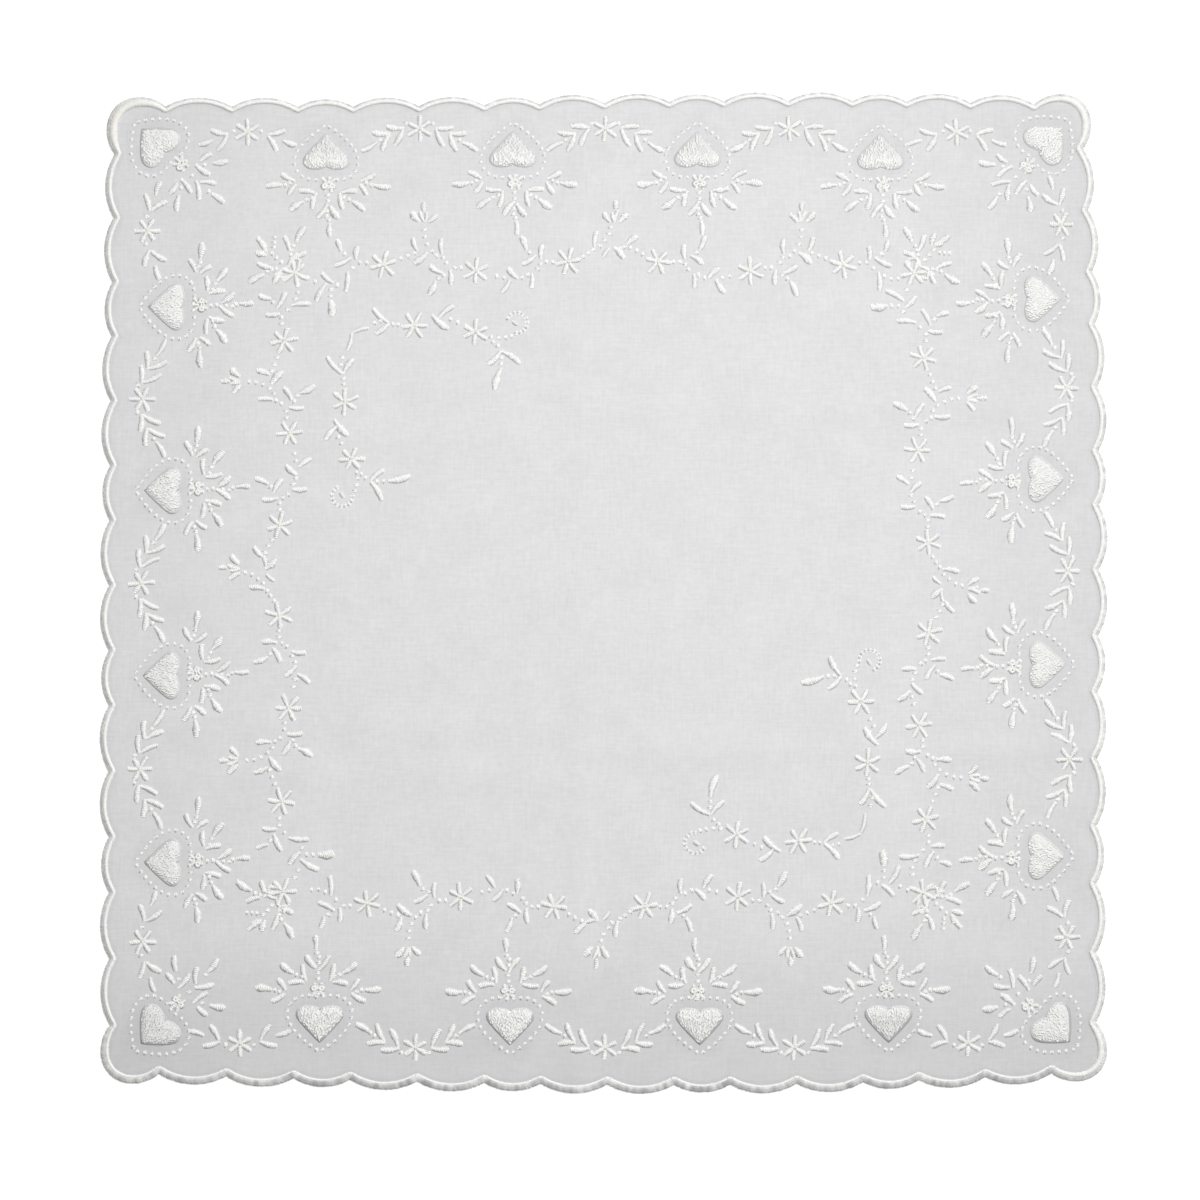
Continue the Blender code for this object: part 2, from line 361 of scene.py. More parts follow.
# Its star flowers: where along the side, how far off the line, and the chains beside them
OUTER_PLACES = ((-107.5, -1.2, SHORT_CHAIN), (-56.0, 0.0, LONG_CHAIN), (0.0, 0.0, LONG_CHAIN),
                (56.0, 0.0, LONG_CHAIN), (107.5, -1.2, SHORT_CHAIN))
OUTER_STAR_REACH = 3.7
OUTER_STAR_TURN = 30                # degrees
OUTER_SHIFT = 0.4                   # the whole garland lies this far clockwise

# The inner garland: u from its own middle, v from the centre of the cloth, as on the top side
GARLAND_HALF = (
    ("star", 13.6, 99.2, 50),
    ("bead", 18.3, 99.2),
    ("bead", 20.2, 99.2),
    ("leaf", 21.8, 99.9, 21.4, 104.4),
    ("leaf", 23.4, 101.1, 27.5, 98.5),
    ("bead", 25.2, 101.9),
    ("leaf", 26.1, 102.6, 27.7, 106.8),
    ("bead", 21.9, 98.3),
    ("bead", 22.9, 96.8),
    ("leaf", 24.5, 95.4, 24.6, 91.1),
    ("bead", 25.8, 95.2),
    ("bead", 27.7, 94.3),
    ("leaf", 28.8, 94.1, 31.9, 97.3),
    ("leaf", 31.2, 93.6, 33.8, 89.8),
    ("bead", 33.0, 94.3),
    ("bead", 35.2, 94.8),
    ("star", 41.5, 96.3, 35),
    ("bead", 46.0, 97.3),
    ("bead", 47.9, 97.4),
    ("leaf", 49.3, 96.6, 49.1, 92.1),
    ("leaf", 51.5, 95.6, 55.4, 98.0),
    ("bead", 51.1, 94.9),
    ("bead", 52.8, 94.0),
    ("fat", 53.6, 93.2, 55.8, 88.8),
    ("bead", 50.4, 98.8),
    ("bead", 51.4, 100.4),
    ("leaf", 51.7, 101.4, 51.8, 106.0),
    ("bead", 53.4, 101.0),
    ("bead", 54.9, 102.4),
    ("bead", 56.2, 104.4),
    ("bead", 56.9, 106.6),
    ("bead", 57.1, 108.7),
    ("leaf", 56.0, 111.2, 53.6, 113.5),
    ("thin", 56.7, 111.4, 56.4, 114.2),
    ("thin", 57.2, 111.4, 58.4, 114.4),
    ("leaf", 57.2, 114.4, 57.3, 117.0),
    ("fat", 58.6, 111.4, 60.9, 114.2),
    ("fat", 56.2, 101.9, 60.3, 98.6),
    ("leaf", 59.2, 102.4, 60.7, 106.5),
    ("bead", 60.2, 101.8),
    ("bead", 62.2, 101.0),
    ("bead", 64.3, 100.2),
    ("star", 69.5, 98.2, 42),
    ("bead", 74.6, 98.9),
    ("bead", 76.6, 98.9),
    ("leaf", 77.7, 99.6, 77.5, 103.8),
    ("leaf", 79.3, 100.4, 84.2, 97.9),
    ("bead", 81.2, 101.5),
    ("leaf", 82.3, 102.2, 83.4, 105.8),
    ("bead", 78.8, 97.2),
    ("leaf", 80.3, 96.0, 80.7, 90.0),
)
GARLAND_MIDDLE = (
    ("bead", -9.2, 100.7),
    ("bead", -7.6, 101.8),
    ("bead", -6.2, 102.8),
    ("leaf", -5.6, 103.6, -4.9, 108.4),
    ("bead", -3.9, 104.0),
    ("bead", -2.6, 105.6),
    ("bead", -1.2, 107.5),
    ("bead", -0.6, 109.5),
    ("leaf", -0.8, 111.2, -2.8, 114.3),
    ("thin", 0.4, 111.2, -0.1, 114.2),
    ("thin", 0.4, 111.2, 1.7, 114.8),
    ("leaf", 0.8, 114.9, 0.8, 117.6),
    ("fat", 2.0, 111.3, 4.4, 113.8),
    ("thin", -1.2, 103.1, -3.1, 100.7),
    ("fat", 0.4, 103.5, 3.3, 100.2),
    ("thin", 0.9, 103.2, 4.2, 103.9),
    ("leaf", 4.1, 104.3, 7.2, 107.0),
    ("bead", 5.2, 103.5),
    ("bead", 7.2, 102.6),
    ("bead", 9.0, 101.5),
)
GARLAND_RIGHT_END = (
    ("bead", 82.1, 94.8),
    ("bead", 84.1, 94.0),
    ("bead", 86.2, 94.1),
)
GARLAND_LEFT_END = (
    ("leaf", -84.7, 92.7, -88.2, 95.8),
    ("leaf", -86.8, 92.4, -89.9, 86.9),
    ("bead", -83.4, 92.0),
    ("bead", -85.3, 90.6),
    ("bead", -85.4, 88.6),
    ("bud", -85.4, 87.2, -84.9, 82.5),
    ("bead", -90.1, 93.1),
    ("bead", -92.4, 94.2),
)

# Corner bouquets, from their star flower, as in the top left corner: x right, y up. The flowers'
# places, and the first inner spray's joint, are measured ones that another program converted.
BOUQUET_STARS = ((-93.6, 95.7), (93.7, 95.7), (95.5, -91.2), (-96.2, -90.9))
BOUQUET_STAR_TURN = 40              # degrees
BOUQUET_SPRIG = (
    ("leaf", -1.5, 6.8, -3.1, 11.3),
    ("leaf", -0.4, 4.9, 3.2, 6.5),
    ("thin", -2.0, 2.0, -0.8, 4.6),
    ("thin", 1.1, 1.6, 1.7, 4.0),
    ("thin", -0.9, 4.4, 1.4, 4.3),
    ("bead", -1.2, 5.6),
    ("bead", 0.4, 5.8),
    ("bead", -1.0, 6.9),
    ("bead", -0.5, 8.3),
    ("fat", 0.4, 9.4, 3.0, 13.9),
)
BOUQUET_MIDDLE = (
    ("bead", -4.0, 3.3),
    ("bead", -5.5, 4.6),
    ("bead", -6.9, 6.0),
    ("bead", -6.3, 7.8),
    ("bead", -6.2, 9.3),
    ("bead", -6.1, 10.8),
    ("thin", -8.4, 6.4, -9.2, 9.0),
    ("leaf", -8.8, 6.6, -11.3, 10.6),
    ("fat", -8.5, 5.4, -11.8, 6.2),
)

# The two inner sprays: one arm, u along it from the joint and v on its outer side
# x, y, quarter turns, and how far the hanging arm is drawn out at its middle and at its end
SPRAY_JOINTS = ((-75.8, 77.3, 0, 2.4, 0.0), (76.6, -73.2, 2, 2.5, 2.2))
SPRAY_BULGE_END = 44.0              # mm along the arm where its middle part ends
SPRAY_DRAWN_FROM = 10.0             # and where it is drawn out in full
SPRAY_ARM = (
    ("thin", 0.0, 0.4, 4.5, 1.8),
    ("bead", 6.3, 3.3),
    ("bead", 8.2, 3.8),
    ("leaf", 10.6, 3.3, 6.1, 7.8),
    ("leaf", 10.7, 3.0, 6.6, 0.0),
    ("bead", 12.0, 2.9),
    ("bead", 13.5, 2.8),
    ("star", 18.4, 2.5, 3),
    ("fat", 23.8, 5.6, 28.8, 1.5),
    ("leaf", 25.9, 4.9, 30.1, 8.3),
    ("bead", 29.4, 4.4),
    ("bead", 31.5, 3.4),
    ("star", 36.9, 0.5, 25),
    ("bead", 41.7, -1.1),
    ("bead", 43.9, -1.3),
    ("bead", 46.0, -1.1),
    ("bead", 47.8, -0.7),
    ("bead", 42.3, -2.6),
    ("bead", 43.7, -3.8),
    ("leaf", 44.6, -5.4, 40.7, -9.4),
    ("leaf", 44.9, -5.4, 50.5, -9.0),
    ("bead", 44.8, -7.4),
    ("bead", 44.7, -9.3),
    ("fat", 44.7, -10.6, 42.8, -17.3),
)
# The curl at the end of each arm, on the same chart
CURL_MIDDLE = (49.4, 3.15)
CURL_REACH = 3.1
CURL_STITCHES = 11
CURL_START = math.radians(-92)
CURL_SWEEP = math.radians(242)
CURL_STITCH = 0.35                  # half a stitch's length
CURL_KNOT = ((-1.2, 0.5), (0.3, -0.5))   # the knot's ends, from the curl's middle
CURL_CREAM = 0.9

# ---------------------------------------------------------------- studio
CAMERA_DISTANCE = 1.0               # m
CAMERA_TILT = math.radians(3.06)    # from straight above, towards the near edge
CAMERA_AIM = (-1.26 * MM, -3.35 * MM, 0.0)
CAMERA_LENS = 99.66                 # mm
CAMERA_SENSOR = 36.0                # mm
CAMERA_CLIP = 0.01                  # m
PAPER_GRAIN = 900.0                 # lumps to the metre
GLOW_NEAR = 0.22                    # the paper's own light beside the cloth and away from it
GLOW_FAR = 0.5
GLOW_FROM = 0.150                   # m from the middle
GLOW_TO = 0.165
FLOOR_HALF = 4.0                    # m
KEY_STRENGTH = 1.62
KEY_ANGLE = math.radians(28)        # the wider, the softer its shadows
KEY_FROM = (0.45, 0.67, 0.73)
OVERHEAD_POWER = 0.95               # W
OVERHEAD_SIZE = 0.34                # m, as are its place and height
OVERHEAD_PLACE = (0.060, 0.085)
OVERHEAD_HEIGHT = 0.45
ROOM_STRENGTH = 0.291

irregular = random.Random(CHART_SEED)


# ================================================================ the cut edge
def turned(quarter_turns, x, y):
    """A point turned clockwise about the origin by quarter turns."""
    for _ in range(quarter_turns):
        x, y = y, -x
    return x, y


def slid_along(side, along):
    """Where something charted at a place along a side lies on this side (millimetres)."""
    middle = 1 - (along * MM / HALF_RUN) ** 2
    return along * side["stretch"] + side["shift"] + side["slide"] * middle


def notch_positions():
    """Where the notches lie along a side, from corner to corner."""
    along = -HALF_RUN
    yield along
    for letter in SCALLOP_RHYTHM:
        along += SCALLOP_WIDTHS[letter]
        yield along


def side_notches(side):
    """The notches between the scallops of one side."""
    notches = []
    for along in notch_positions():
        share = along / HALF_RUN
        outward = side["half"] + side["bow"] * (1 - share ** 2) + side["slant"] * share
        outward += side["wave"] * math.sin(math.pi * share)
        notches.append(turned(side["turn"], slid_along(side, along / MM) * MM, outward * MM))
    return notches


def lobe(start, end):
    """The corner's arc, bulging outwards (to the left of start to end)."""
    mid_x, mid_y = (start[0] + end[0]) / 2, (start[1] + end[1]) / 2
    half_x, half_y = (end[0] - start[0]) / 2, (end[1] - start[1]) / 2
    half = math.hypot(half_x, half_y)
    for step in range(CORNER_STEPS + 1):
        angle = math.pi * (1 - step / CORNER_STEPS)
        reach = math.cos(angle)
        out = abs(math.sin(angle)) ** CORNER_POINT * CORNER_RISE / half
        yield mid_x + half_x * reach - half_y * out, mid_y + half_y * reach + half_x * out


def scallop(start, end):
    """A flat circular arc over one scallop's width."""
    width = math.dist(start, end)
    rise = width * SCALLOP_RISE
    radius = (width ** 2 / 4 + rise ** 2) / (2 * rise)
    half_angle = math.asin(width / 2 / radius)
    along_x, along_y = (end[0] - start[0]) / width, (end[1] - start[1]) / width
    for step in range(SCALLOP_STEPS + 1):
        angle = half_angle * (2 * step / SCALLOP_STEPS - 1)
        reach = radius * math.sin(angle) + width / 2
        out = radius * (math.cos(angle) - math.cos(half_angle))
        yield (start[0] + along_x * reach - along_y * out,
               start[1] + along_y * reach + along_x * out)


def edge_runs():
    """The cut edge, clockwise, as one run of points for each scallop and corner lobe."""
    sides = [side_notches(side) for side in SIDES]
    runs = []
    for index, notches in enumerate(sides):
        for start, end in zip(notches, notches[1:]):
            runs.append(("scallop", list(scallop(start, end))))
        next_side = sides[(index + 1) % len(sides)]
        runs.append(("lobe", list(lobe(notches[-1], next_side[0]))))
    points = [point for _, run in runs for point in run]
    mid_x = (max(x for x, _ in points) + min(x for x, _ in points)) / 2
    mid_y = (max(y for _, y in points) + min(y for _, y in points)) / 2
    return [(kind, [Vector((x - mid_x, y - mid_y)) for x, y in run]) for kind, run in runs]


EDGE_RUNS = edge_runs()
EDGE = [point for _, run in EDGE_RUNS for point in run[:-1]]


def inset_edge(distance):
    """The cut edge moved inwards by a distance."""
    moved = []
    for index, point in enumerate(EDGE):
        along = EDGE[(index + 1) % len(EDGE)] - EDGE[index - 1]
        inwards = Vector((along.y, -along.x)).normalized()
        moved.append(point + inwards * distance)
    return moved


# ================================================================ the lie of the cloth
def swell(distance):
    """A smooth bump one unit high that is gone at one fold half width."""
    share = min(abs(distance) / FOLD_HALF_WIDTH, 1.0)
    return (1 + math.cos(math.pi * share)) / 2


def fold_lift(x, y):
    """The pressed folds: ridges down the middle and across the right, grooves across the left."""
    lift = RIDGE_HEIGHT * swell(x - MIDDLE_FOLD_X)
    for fold_y in CROSS_FOLDS_Y:
        across = y - fold_y
        if x > MIDDLE_FOLD_X:
            cross = RIDGE_HEIGHT * swell(across)
        else:
            cross = SWELL_HEIGHT * (swell(across - SWELL_OFFSET) + swell(across + SWELL_OFFSET))
        lift = max(lift, cross)
    return lift


def smooth_step(value):
    """A smooth climb from 0 to 1 as the value does."""
    value = min(max(value, 0.0), 1.0)
    return value * value * (3 - 2 * value)


def lawn_top(x, y):
    """Height of the lawn's upper face, with its folds, the lift at the hem and small puckers."""
    border = smooth_step((max(abs(x), abs(y)) - HEM_RISE_START) / HEM_RISE_WIDTH)
    puckers = noise.noise(Vector((x, y, 0.0)) / PUCKER_SPAN)
    billows = noise.noise(Vector((x, y, BILLOW_LEVEL)) / BILLOW_SPAN)
    stitched = smooth_step((max(abs(x), abs(y)) / MM - PUCKER_START) / PUCKER_WIDTH)
    puckered = PUCKER_HEIGHT * puckers * (PUCKER_PLAIN + (1 - PUCKER_PLAIN) * stitched)
    return LAWN_TOP + fold_lift(x, y) + HEM_RISE * border + puckered + BILLOW_HEIGHT * billows


# ================================================================ node helpers
def add(tree, kind, inputs=None, **settings):
    """Add a node with its settings; an input is a value or the socket that feeds it.

    An input goes by its name, or by its number where a node has several of that name.
    """
    node = tree.nodes.new(kind)
    for name, value in settings.items():
        setattr(node, name, value)
    for key, value in (inputs or {}).items():
        if isinstance(value, bpy.types.NodeSocket):
            tree.links.new(value, node.inputs[key])
        else:
            node.inputs[key].default_value = value
    return node


def new_tree(name, sockets):
    """An empty geometry tree with a geometry socket each way and the named inputs."""
    tree = bpy.data.node_groups.new(name, "GeometryNodeTree")
    tree.interface.new_socket("Geometry", in_out="OUTPUT", socket_type="NodeSocketGeometry")
    tree.interface.new_socket("Geometry", in_out="INPUT", socket_type="NodeSocketGeometry")
    for socket_name, kind in sockets:
        tree.interface.new_socket(socket_name, in_out="INPUT", socket_type="NodeSocket" + kind)
    return tree


def worked(name, mesh, tree, inputs):
    """Run a tree on a guide mesh and keep what it makes as a plain mesh."""
    piece = bpy.data.objects.new(name, mesh)
    bpy.context.scene.collection.objects.link(piece)
    modifier = piece.modifiers.new("stitching", "NODES")
    modifier.node_group = tree
    for item in tree.interface.items_tree:
        if item.in_out == "INPUT" and item.name in inputs:
            modifier[item.identifier] = inputs[item.name]
    evaluated = piece.evaluated_get(bpy.context.evaluated_depsgraph_get())
    finished = bpy.data.meshes.new_from_object(evaluated)
    piece.modifiers.clear()
    piece.data = finished
    finished.name = name
    return piece


def satin_tree():
    """Satin stitches laid across guide lines, as wide as each point's width attribute."""
    tree = new_tree("satin_stitching", (
        ("Stitch", "Object"), ("Thread", "Material"), ("Even Spacing", "Bool"), ("Pitch", "Float"),
        ("Stitch Size", "Float"), ("Slant", "Float"),
        ("Unevenness", "Float"), ("Seed", "Int")))
    given = add(tree, "NodeGroupInput").outputs
    line = add(tree, "GeometryNodeMeshToCurve", {"Mesh": given["Geometry"]})
    spaced = add(tree, "GeometryNodeResampleCurve",
                 {"Curve": line.outputs[0], "Length": given["Pitch"]}, mode="LENGTH")
    places = add(tree, "GeometryNodeSwitch", {
        "Switch": given["Even Spacing"], "False": line.outputs[0], "True": spaced.outputs[0]},
        input_type="GEOMETRY")
    stitch = add(tree, "GeometryNodeObjectInfo", {"Object": given["Stitch"]})
    stitches = add(tree, "GeometryNodeInstanceOnPoints", {
        "Points": places.outputs[0], "Instance": stitch.outputs["Geometry"],
        "Rotation": satin_turn(tree, given), "Scale": satin_size(tree, given)})
    finish(tree, stitches.outputs[0], given)
    return tree


def satin_turn(tree, given):
    """Each satin stitch lies across its line, at a slant that varies a little."""
    tangent = add(tree, "GeometryNodeInputTangent")
    across = add(tree, "FunctionNodeAlignRotationToVector", {"Vector": tangent.outputs[0]},
                 axis="X", pivot_axis="Z")
    lean = add(tree, "FunctionNodeRandomValue", {
        2: -THREAD_LEAN, 3: THREAD_LEAN, "Seed": given["Seed"]}, data_type="FLOAT")
    turn = add(tree, "ShaderNodeMath", {0: given["Slant"], 1: lean.outputs[1]}, operation="ADD")
    twist = add(tree, "ShaderNodeCombineXYZ", {"Z": turn.outputs[0]})
    rotation = add(tree, "FunctionNodeRotateRotation", {
        "Rotation": across.outputs[0], "Rotate By": twist.outputs[0]}, rotation_space="LOCAL")
    return rotation.outputs[0]


def satin_size(tree, given):
    """Each satin stitch is as long as its line is wide there, more or less, and as high."""
    width = add(tree, "GeometryNodeInputNamedAttribute", {"Name": "width"}, data_type="FLOAT")
    low = add(tree, "ShaderNodeMath", {0: 1.0, 1: given["Unevenness"]}, operation="SUBTRACT")
    high = add(tree, "ShaderNodeMath", {0: 1.0, 1: given["Unevenness"]}, operation="ADD")
    size_seed = add(tree, "ShaderNodeMath", {0: given["Seed"], 1: SIZE_SEED}, operation="ADD")
    uneven = add(tree, "FunctionNodeRandomValue", {
        2: low.outputs[0], 3: high.outputs[0], "Seed": size_seed.outputs[0]}, data_type="FLOAT")
    length = add(tree, "ShaderNodeMath", {0: width.outputs[0], 1: uneven.outputs[1]},
                 operation="MULTIPLY")
    height = add(tree, "GeometryNodeInputNamedAttribute", {"Name": "height"}, data_type="FLOAT")
    scale = add(tree, "ShaderNodeCombineXYZ", {
        "X": given["Stitch Size"], "Y": length.outputs[0], "Z": height.outputs[0]})
    return scale.outputs[0]


def finish(tree, stitches, given):
    """Give every stitch its own tint, make the stitches real and set their thread."""
    tint_seed = add(tree, "ShaderNodeMath", {0: given["Seed"], 1: TINT_SEED}, operation="ADD")
    chance = add(tree, "FunctionNodeRandomValue", {2: 0.0, 3: 1.0, "Seed": tint_seed.outputs[0]},
                 data_type="FLOAT")
    tinted = add(tree, "GeometryNodeStoreNamedAttribute", {
        "Geometry": stitches, "Name": "tint", "Value": chance.outputs[1]},
        data_type="FLOAT", domain="INSTANCE")
    real = add(tree, "GeometryNodeRealizeInstances", {"Geometry": tinted.outputs[0]})
    smooth = add(tree, "GeometryNodeSetShadeSmooth", {"Geometry": real.outputs[0]})
    threaded = add(tree, "GeometryNodeSetMaterial", {
        "Geometry": smooth.outputs[0], "Material": given["Thread"]})
    add(tree, "NodeGroupOutput", {"Geometry": threaded.outputs[0]})


def filling_tree():
    """Short stitches scattered close together over a padded shape, along its grain."""
    tree = new_tree("padded_filling", (
        ("Stitch", "Object"), ("Thread", "Material"), ("Spacing", "Float"), ("Length", "Float"),
        ("Width", "Float"), ("Height", "Float"), ("Seed", "Int")))
    given = add(tree, "NodeGroupInput").outputs
    normal = add(tree, "GeometryNodeInputNormal")
    upright = add(tree, "ShaderNodeSeparateXYZ", {0: normal.outputs[0]})
    on_top = add(tree, "ShaderNodeMath", {0: upright.outputs["Z"], 1: FILL_UPRIGHT},
                 operation="GREATER_THAN")
    scattered = add(tree, "GeometryNodeDistributePointsOnFaces", {
        "Mesh": given["Geometry"], "Selection": on_top.outputs[0],
        "Distance Min": given["Spacing"], "Density Max": FILL_DENSITY, "Seed": given["Seed"]},
        distribute_method="POISSON")
    stitch = add(tree, "GeometryNodeObjectInfo", {"Object": given["Stitch"]})
    stitches = add(tree, "GeometryNodeInstanceOnPoints", {
        "Points": scattered.outputs["Points"], "Instance": stitch.outputs["Geometry"],
        "Rotation": filling_turn(tree, given), "Scale": filling_size(tree, given)})
    # The padding between the stitches takes the painted shade stored as gap
    gap = add(tree, "GeometryNodeInputNamedAttribute", {"Name": "gap"}, data_type="FLOAT")
    ground = add(tree, "GeometryNodeStoreNamedAttribute", {
        "Geometry": given["Geometry"], "Name": "shade", "Value": gap.outputs[0]},
        data_type="FLOAT", domain="POINT")
    both = add(tree, "GeometryNodeJoinGeometry")
    tree.links.new(ground.outputs[0], both.inputs[0])
    tree.links.new(stitches.outputs[0], both.inputs[0])
    finish(tree, both.outputs[0], given)
    return tree


def filling_turn(tree, given):
    """Each filling stitch lies roughly along the grain."""
    grain = add(tree, "GeometryNodeInputNamedAttribute", {"Name": "grain"}, data_type="FLOAT")
    lean = add(tree, "FunctionNodeRandomValue", {
        2: -FILL_LEAN, 3: FILL_LEAN, "Seed": given["Seed"]}, data_type="FLOAT")
    turn = add(tree, "ShaderNodeMath", {0: grain.outputs[0], 1: lean.outputs[1]}, operation="ADD")
    rotation = add(tree, "ShaderNodeCombineXYZ", {"Z": turn.outputs[0]})
    return rotation.outputs[0]


def filling_size(tree, given):
    """Each filling stitch has its own size, and stands up as roughly as its heart's do."""
    rough = add(tree, "GeometryNodeInputNamedAttribute", {"Name": "rough"}, data_type="FLOAT")
    height = add(tree, "ShaderNodeMath", {0: given["Height"], 1: rough.outputs[0]},
                 operation="MULTIPLY")
    size_seed = add(tree, "ShaderNodeMath", {0: given["Seed"], 1: SIZE_SEED}, operation="ADD")
    uneven = add(tree, "FunctionNodeRandomValue", {
        2: FILL_SIZES[0], 3: FILL_SIZES[1], "Seed": size_seed.outputs[0]}, data_type="FLOAT")
    size = add(tree, "ShaderNodeCombineXYZ", {
        "X": given["Width"], "Y": given["Length"], "Z": height.outputs[0]})
    scale = add(tree, "ShaderNodeVectorMath", {
        0: size.outputs[0], "Scale": uneven.outputs[1]}, operation="SCALE")
    return scale.outputs[0]


# ================================================================ materials
def srgb(hex_code):
    """A hex colour as linear red, green, blue and alpha."""
    channels = [int(hex_code[place:place + 2], 16) / 255 for place in (0, 2, 4)]
    return [c / 12.92 if c <= 0.04045 else ((c + 0.055) / 1.055) ** 2.4 for c in channels] + [1.0]


def new_material(name):
    """A new material with its node tree and its shader."""
    material = bpy.data.materials.new(name)
    material.use_nodes = True
    return material, material.node_tree, material.node_tree.nodes["Principled BSDF"]


def cotton_lawn():
    """Bleached plain-weave cotton lawn: matt, off-white, softly mottled, with faint slubs."""
    material, tree, shader = new_material("white_cotton_lawn")
    place = add(tree, "ShaderNodeTexCoord").outputs["Object"]
    long, short = 1 / SLUB_LONG, 1 / SLUB_SHORT
    noises = []
    for stretch in ((long, short, 1.0), (short, long, 1.0), (1 / MOTTLE,) * 3):
        thread = add(tree, "ShaderNodeMapping", {"Vector": place, "Scale": stretch})
        slub = add(tree, "ShaderNodeTexNoise", {"Vector": thread.outputs[0], "Scale": 1.0,
                                                "Detail": 1.5, "Roughness": 0.5})
        noises.append(slub.outputs["Fac"])
    crossed = add(tree, "ShaderNodeMath", {0: noises[0], 1: noises[1]}, operation="ADD")
    woven = add(tree, "ShaderNodeMath", {0: crossed.outputs[0], 1: noises[2]}, operation="ADD")
    clouds = add(tree, "ShaderNodeTexNoise", {"Vector": place, "Scale": 1 / CLOUDS,
                                              "Detail": 2.0, "Roughness": 0.6})
    soft = add(tree, "ShaderNodeMath", {0: woven.outputs[0], 1: clouds.outputs["Fac"]},
               operation="ADD")
    tone = add(tree, "ShaderNodeMapRange", {
        "Value": soft.outputs[0], "From Min": TONE_RANGE[0], "From Max": TONE_RANGE[1],
        "To Min": 0.0, "To Max": 1.0})
    color = add(tree, "ShaderNodeMix", {
        "Factor": tone.outputs[0], 6: srgb(LAWN_TONES[0]), 7: srgb(LAWN_TONES[1])},
        data_type="RGBA")
    # Painted shade, with needle holes beside the hem and round the strokes: the lawn mixed towards a
    # grey
    needled = add(tree, "ShaderNodeAttribute", attribute_name="needled")
    holes_and_shade = add(tree, "ShaderNodeMix", {
        "Factor": needled.outputs["Fac"], 6: color.outputs[2], 7: srgb(NEEDLE_HOLE_AND_SHADE_TONE)},
        data_type="RGBA")
    relief = add(tree, "ShaderNodeBump", {"Height": woven.outputs[0], "Strength": 0.2,
                                          "Distance": 0.05 * MM})
    tree.links.new(holes_and_shade.outputs[2], shader.inputs["Base Color"])
    tree.links.new(relief.outputs[0], shader.inputs["Normal"])
    shader.inputs["Roughness"].default_value = 0.88
    shader.inputs["Specular IOR Level"].default_value = 0.25
    shader.inputs["Sheen Weight"].default_value = 0.08
    return material


def embroidery_thread():
    """Mercerised cotton thread: bright white, softly shiny, each stitch a little off the next."""
    material, tree, shader = new_material("white_embroidery_thread")
    tint = add(tree, "ShaderNodeAttribute", attribute_name="tint")
    cream = add(tree, "ShaderNodeAttribute", attribute_name="cream")
    shade = add(tree, "ShaderNodeAttribute", attribute_name="shade")
    white = add(tree, "ShaderNodeMix", {
        "Factor": tint.outputs["Fac"], 6: srgb(THREAD_TONES[0]), 7: srgb(THREAD_TONES[1])},
        data_type="RGBA")
    creamed = add(tree, "ShaderNodeMix", {
        "Factor": cream.outputs["Fac"], 6: white.outputs[2], 7: srgb(CREAM_TONE)}, data_type="RGBA")
    # Mixed towards a grey: a thin tip or dull thread, and painted shade between filling stitches and
    # on the rim
    greyed_and_shaded = add(tree, "ShaderNodeMix", {
        "Factor": shade.outputs["Fac"], 6: creamed.outputs[2], 7: srgb(GREY_AND_SHADE_TONE)},
        data_type="RGBA")
    tree.links.new(greyed_and_shaded.outputs[2], shader.inputs["Base Color"])
    shader.inputs["Roughness"].default_value = 0.5
    shader.inputs["Specular IOR Level"].default_value = 0.35
    shader.inputs["Sheen Weight"].default_value = 0.1
    return material


def studio_paper():
    """Matt white background paper, lit through more strongly away from the cloth."""
    material, tree, shader = new_material("white_studio_paper")
    place = add(tree, "ShaderNodeTexCoord").outputs["Object"]
    grain = add(tree, "ShaderNodeTexNoise", {"Vector": place, "Scale": PAPER_GRAIN, "Detail": 2.0})
    relief = add(tree, "ShaderNodeBump", {"Height": grain.outputs["Fac"], "Strength": 0.05,
                                          "Distance": 0.05 * MM})
    apart = add(tree, "ShaderNodeSeparateXYZ", {0: place})
    across = add(tree, "ShaderNodeMath", {0: apart.outputs["X"]}, operation="ABSOLUTE")
    along = add(tree, "ShaderNodeMath", {0: apart.outputs["Y"]}, operation="ABSOLUTE")
    beyond = add(tree, "ShaderNodeMath", {0: across.outputs[0], 1: along.outputs[0]},
                 operation="MAXIMUM")
    glow = add(tree, "ShaderNodeMapRange", {
        "Value": beyond.outputs[0], "From Min": GLOW_FROM, "From Max": GLOW_TO,
        "To Min": GLOW_NEAR, "To Max": GLOW_FAR})
    tree.links.new(relief.outputs[0], shader.inputs["Normal"])
    tree.links.new(glow.outputs[0], shader.inputs["Emission Strength"])
    shader.inputs["Base Color"].default_value = srgb("FBFBFB")
    shader.inputs["Roughness"].default_value = 0.9
    shader.inputs["Specular IOR Level"].default_value = 0.1
    shader.inputs["Emission Color"].default_value = srgb("FFFFFF")
    return material


# ================================================================ stitches and guides
def stitch_from_sections(name, sections):
    """A closed stitch one unit across, from rings of points given end to end."""
    bm = bmesh.new()
    rings = [[bm.verts.new(point) for point in ring] for ring in sections]
    for ring, next_ring in zip(rings, rings[1:]):
        count = len(ring)
        for index in range(count):
            following = (index + 1) % count
            bm.faces.new((ring[index], ring[following], next_ring[following], next_ring[index]))
    bm.faces.new(rings[0])
    bm.faces.new(list(reversed(rings[-1])))
    bmesh.ops.recalc_face_normals(bm, faces=bm.faces)
    mesh = bpy.data.meshes.new(name)
    bm.to_mesh(mesh)
    bm.free()
    mesh.shade_smooth()
    return bpy.data.objects.new(name, mesh)


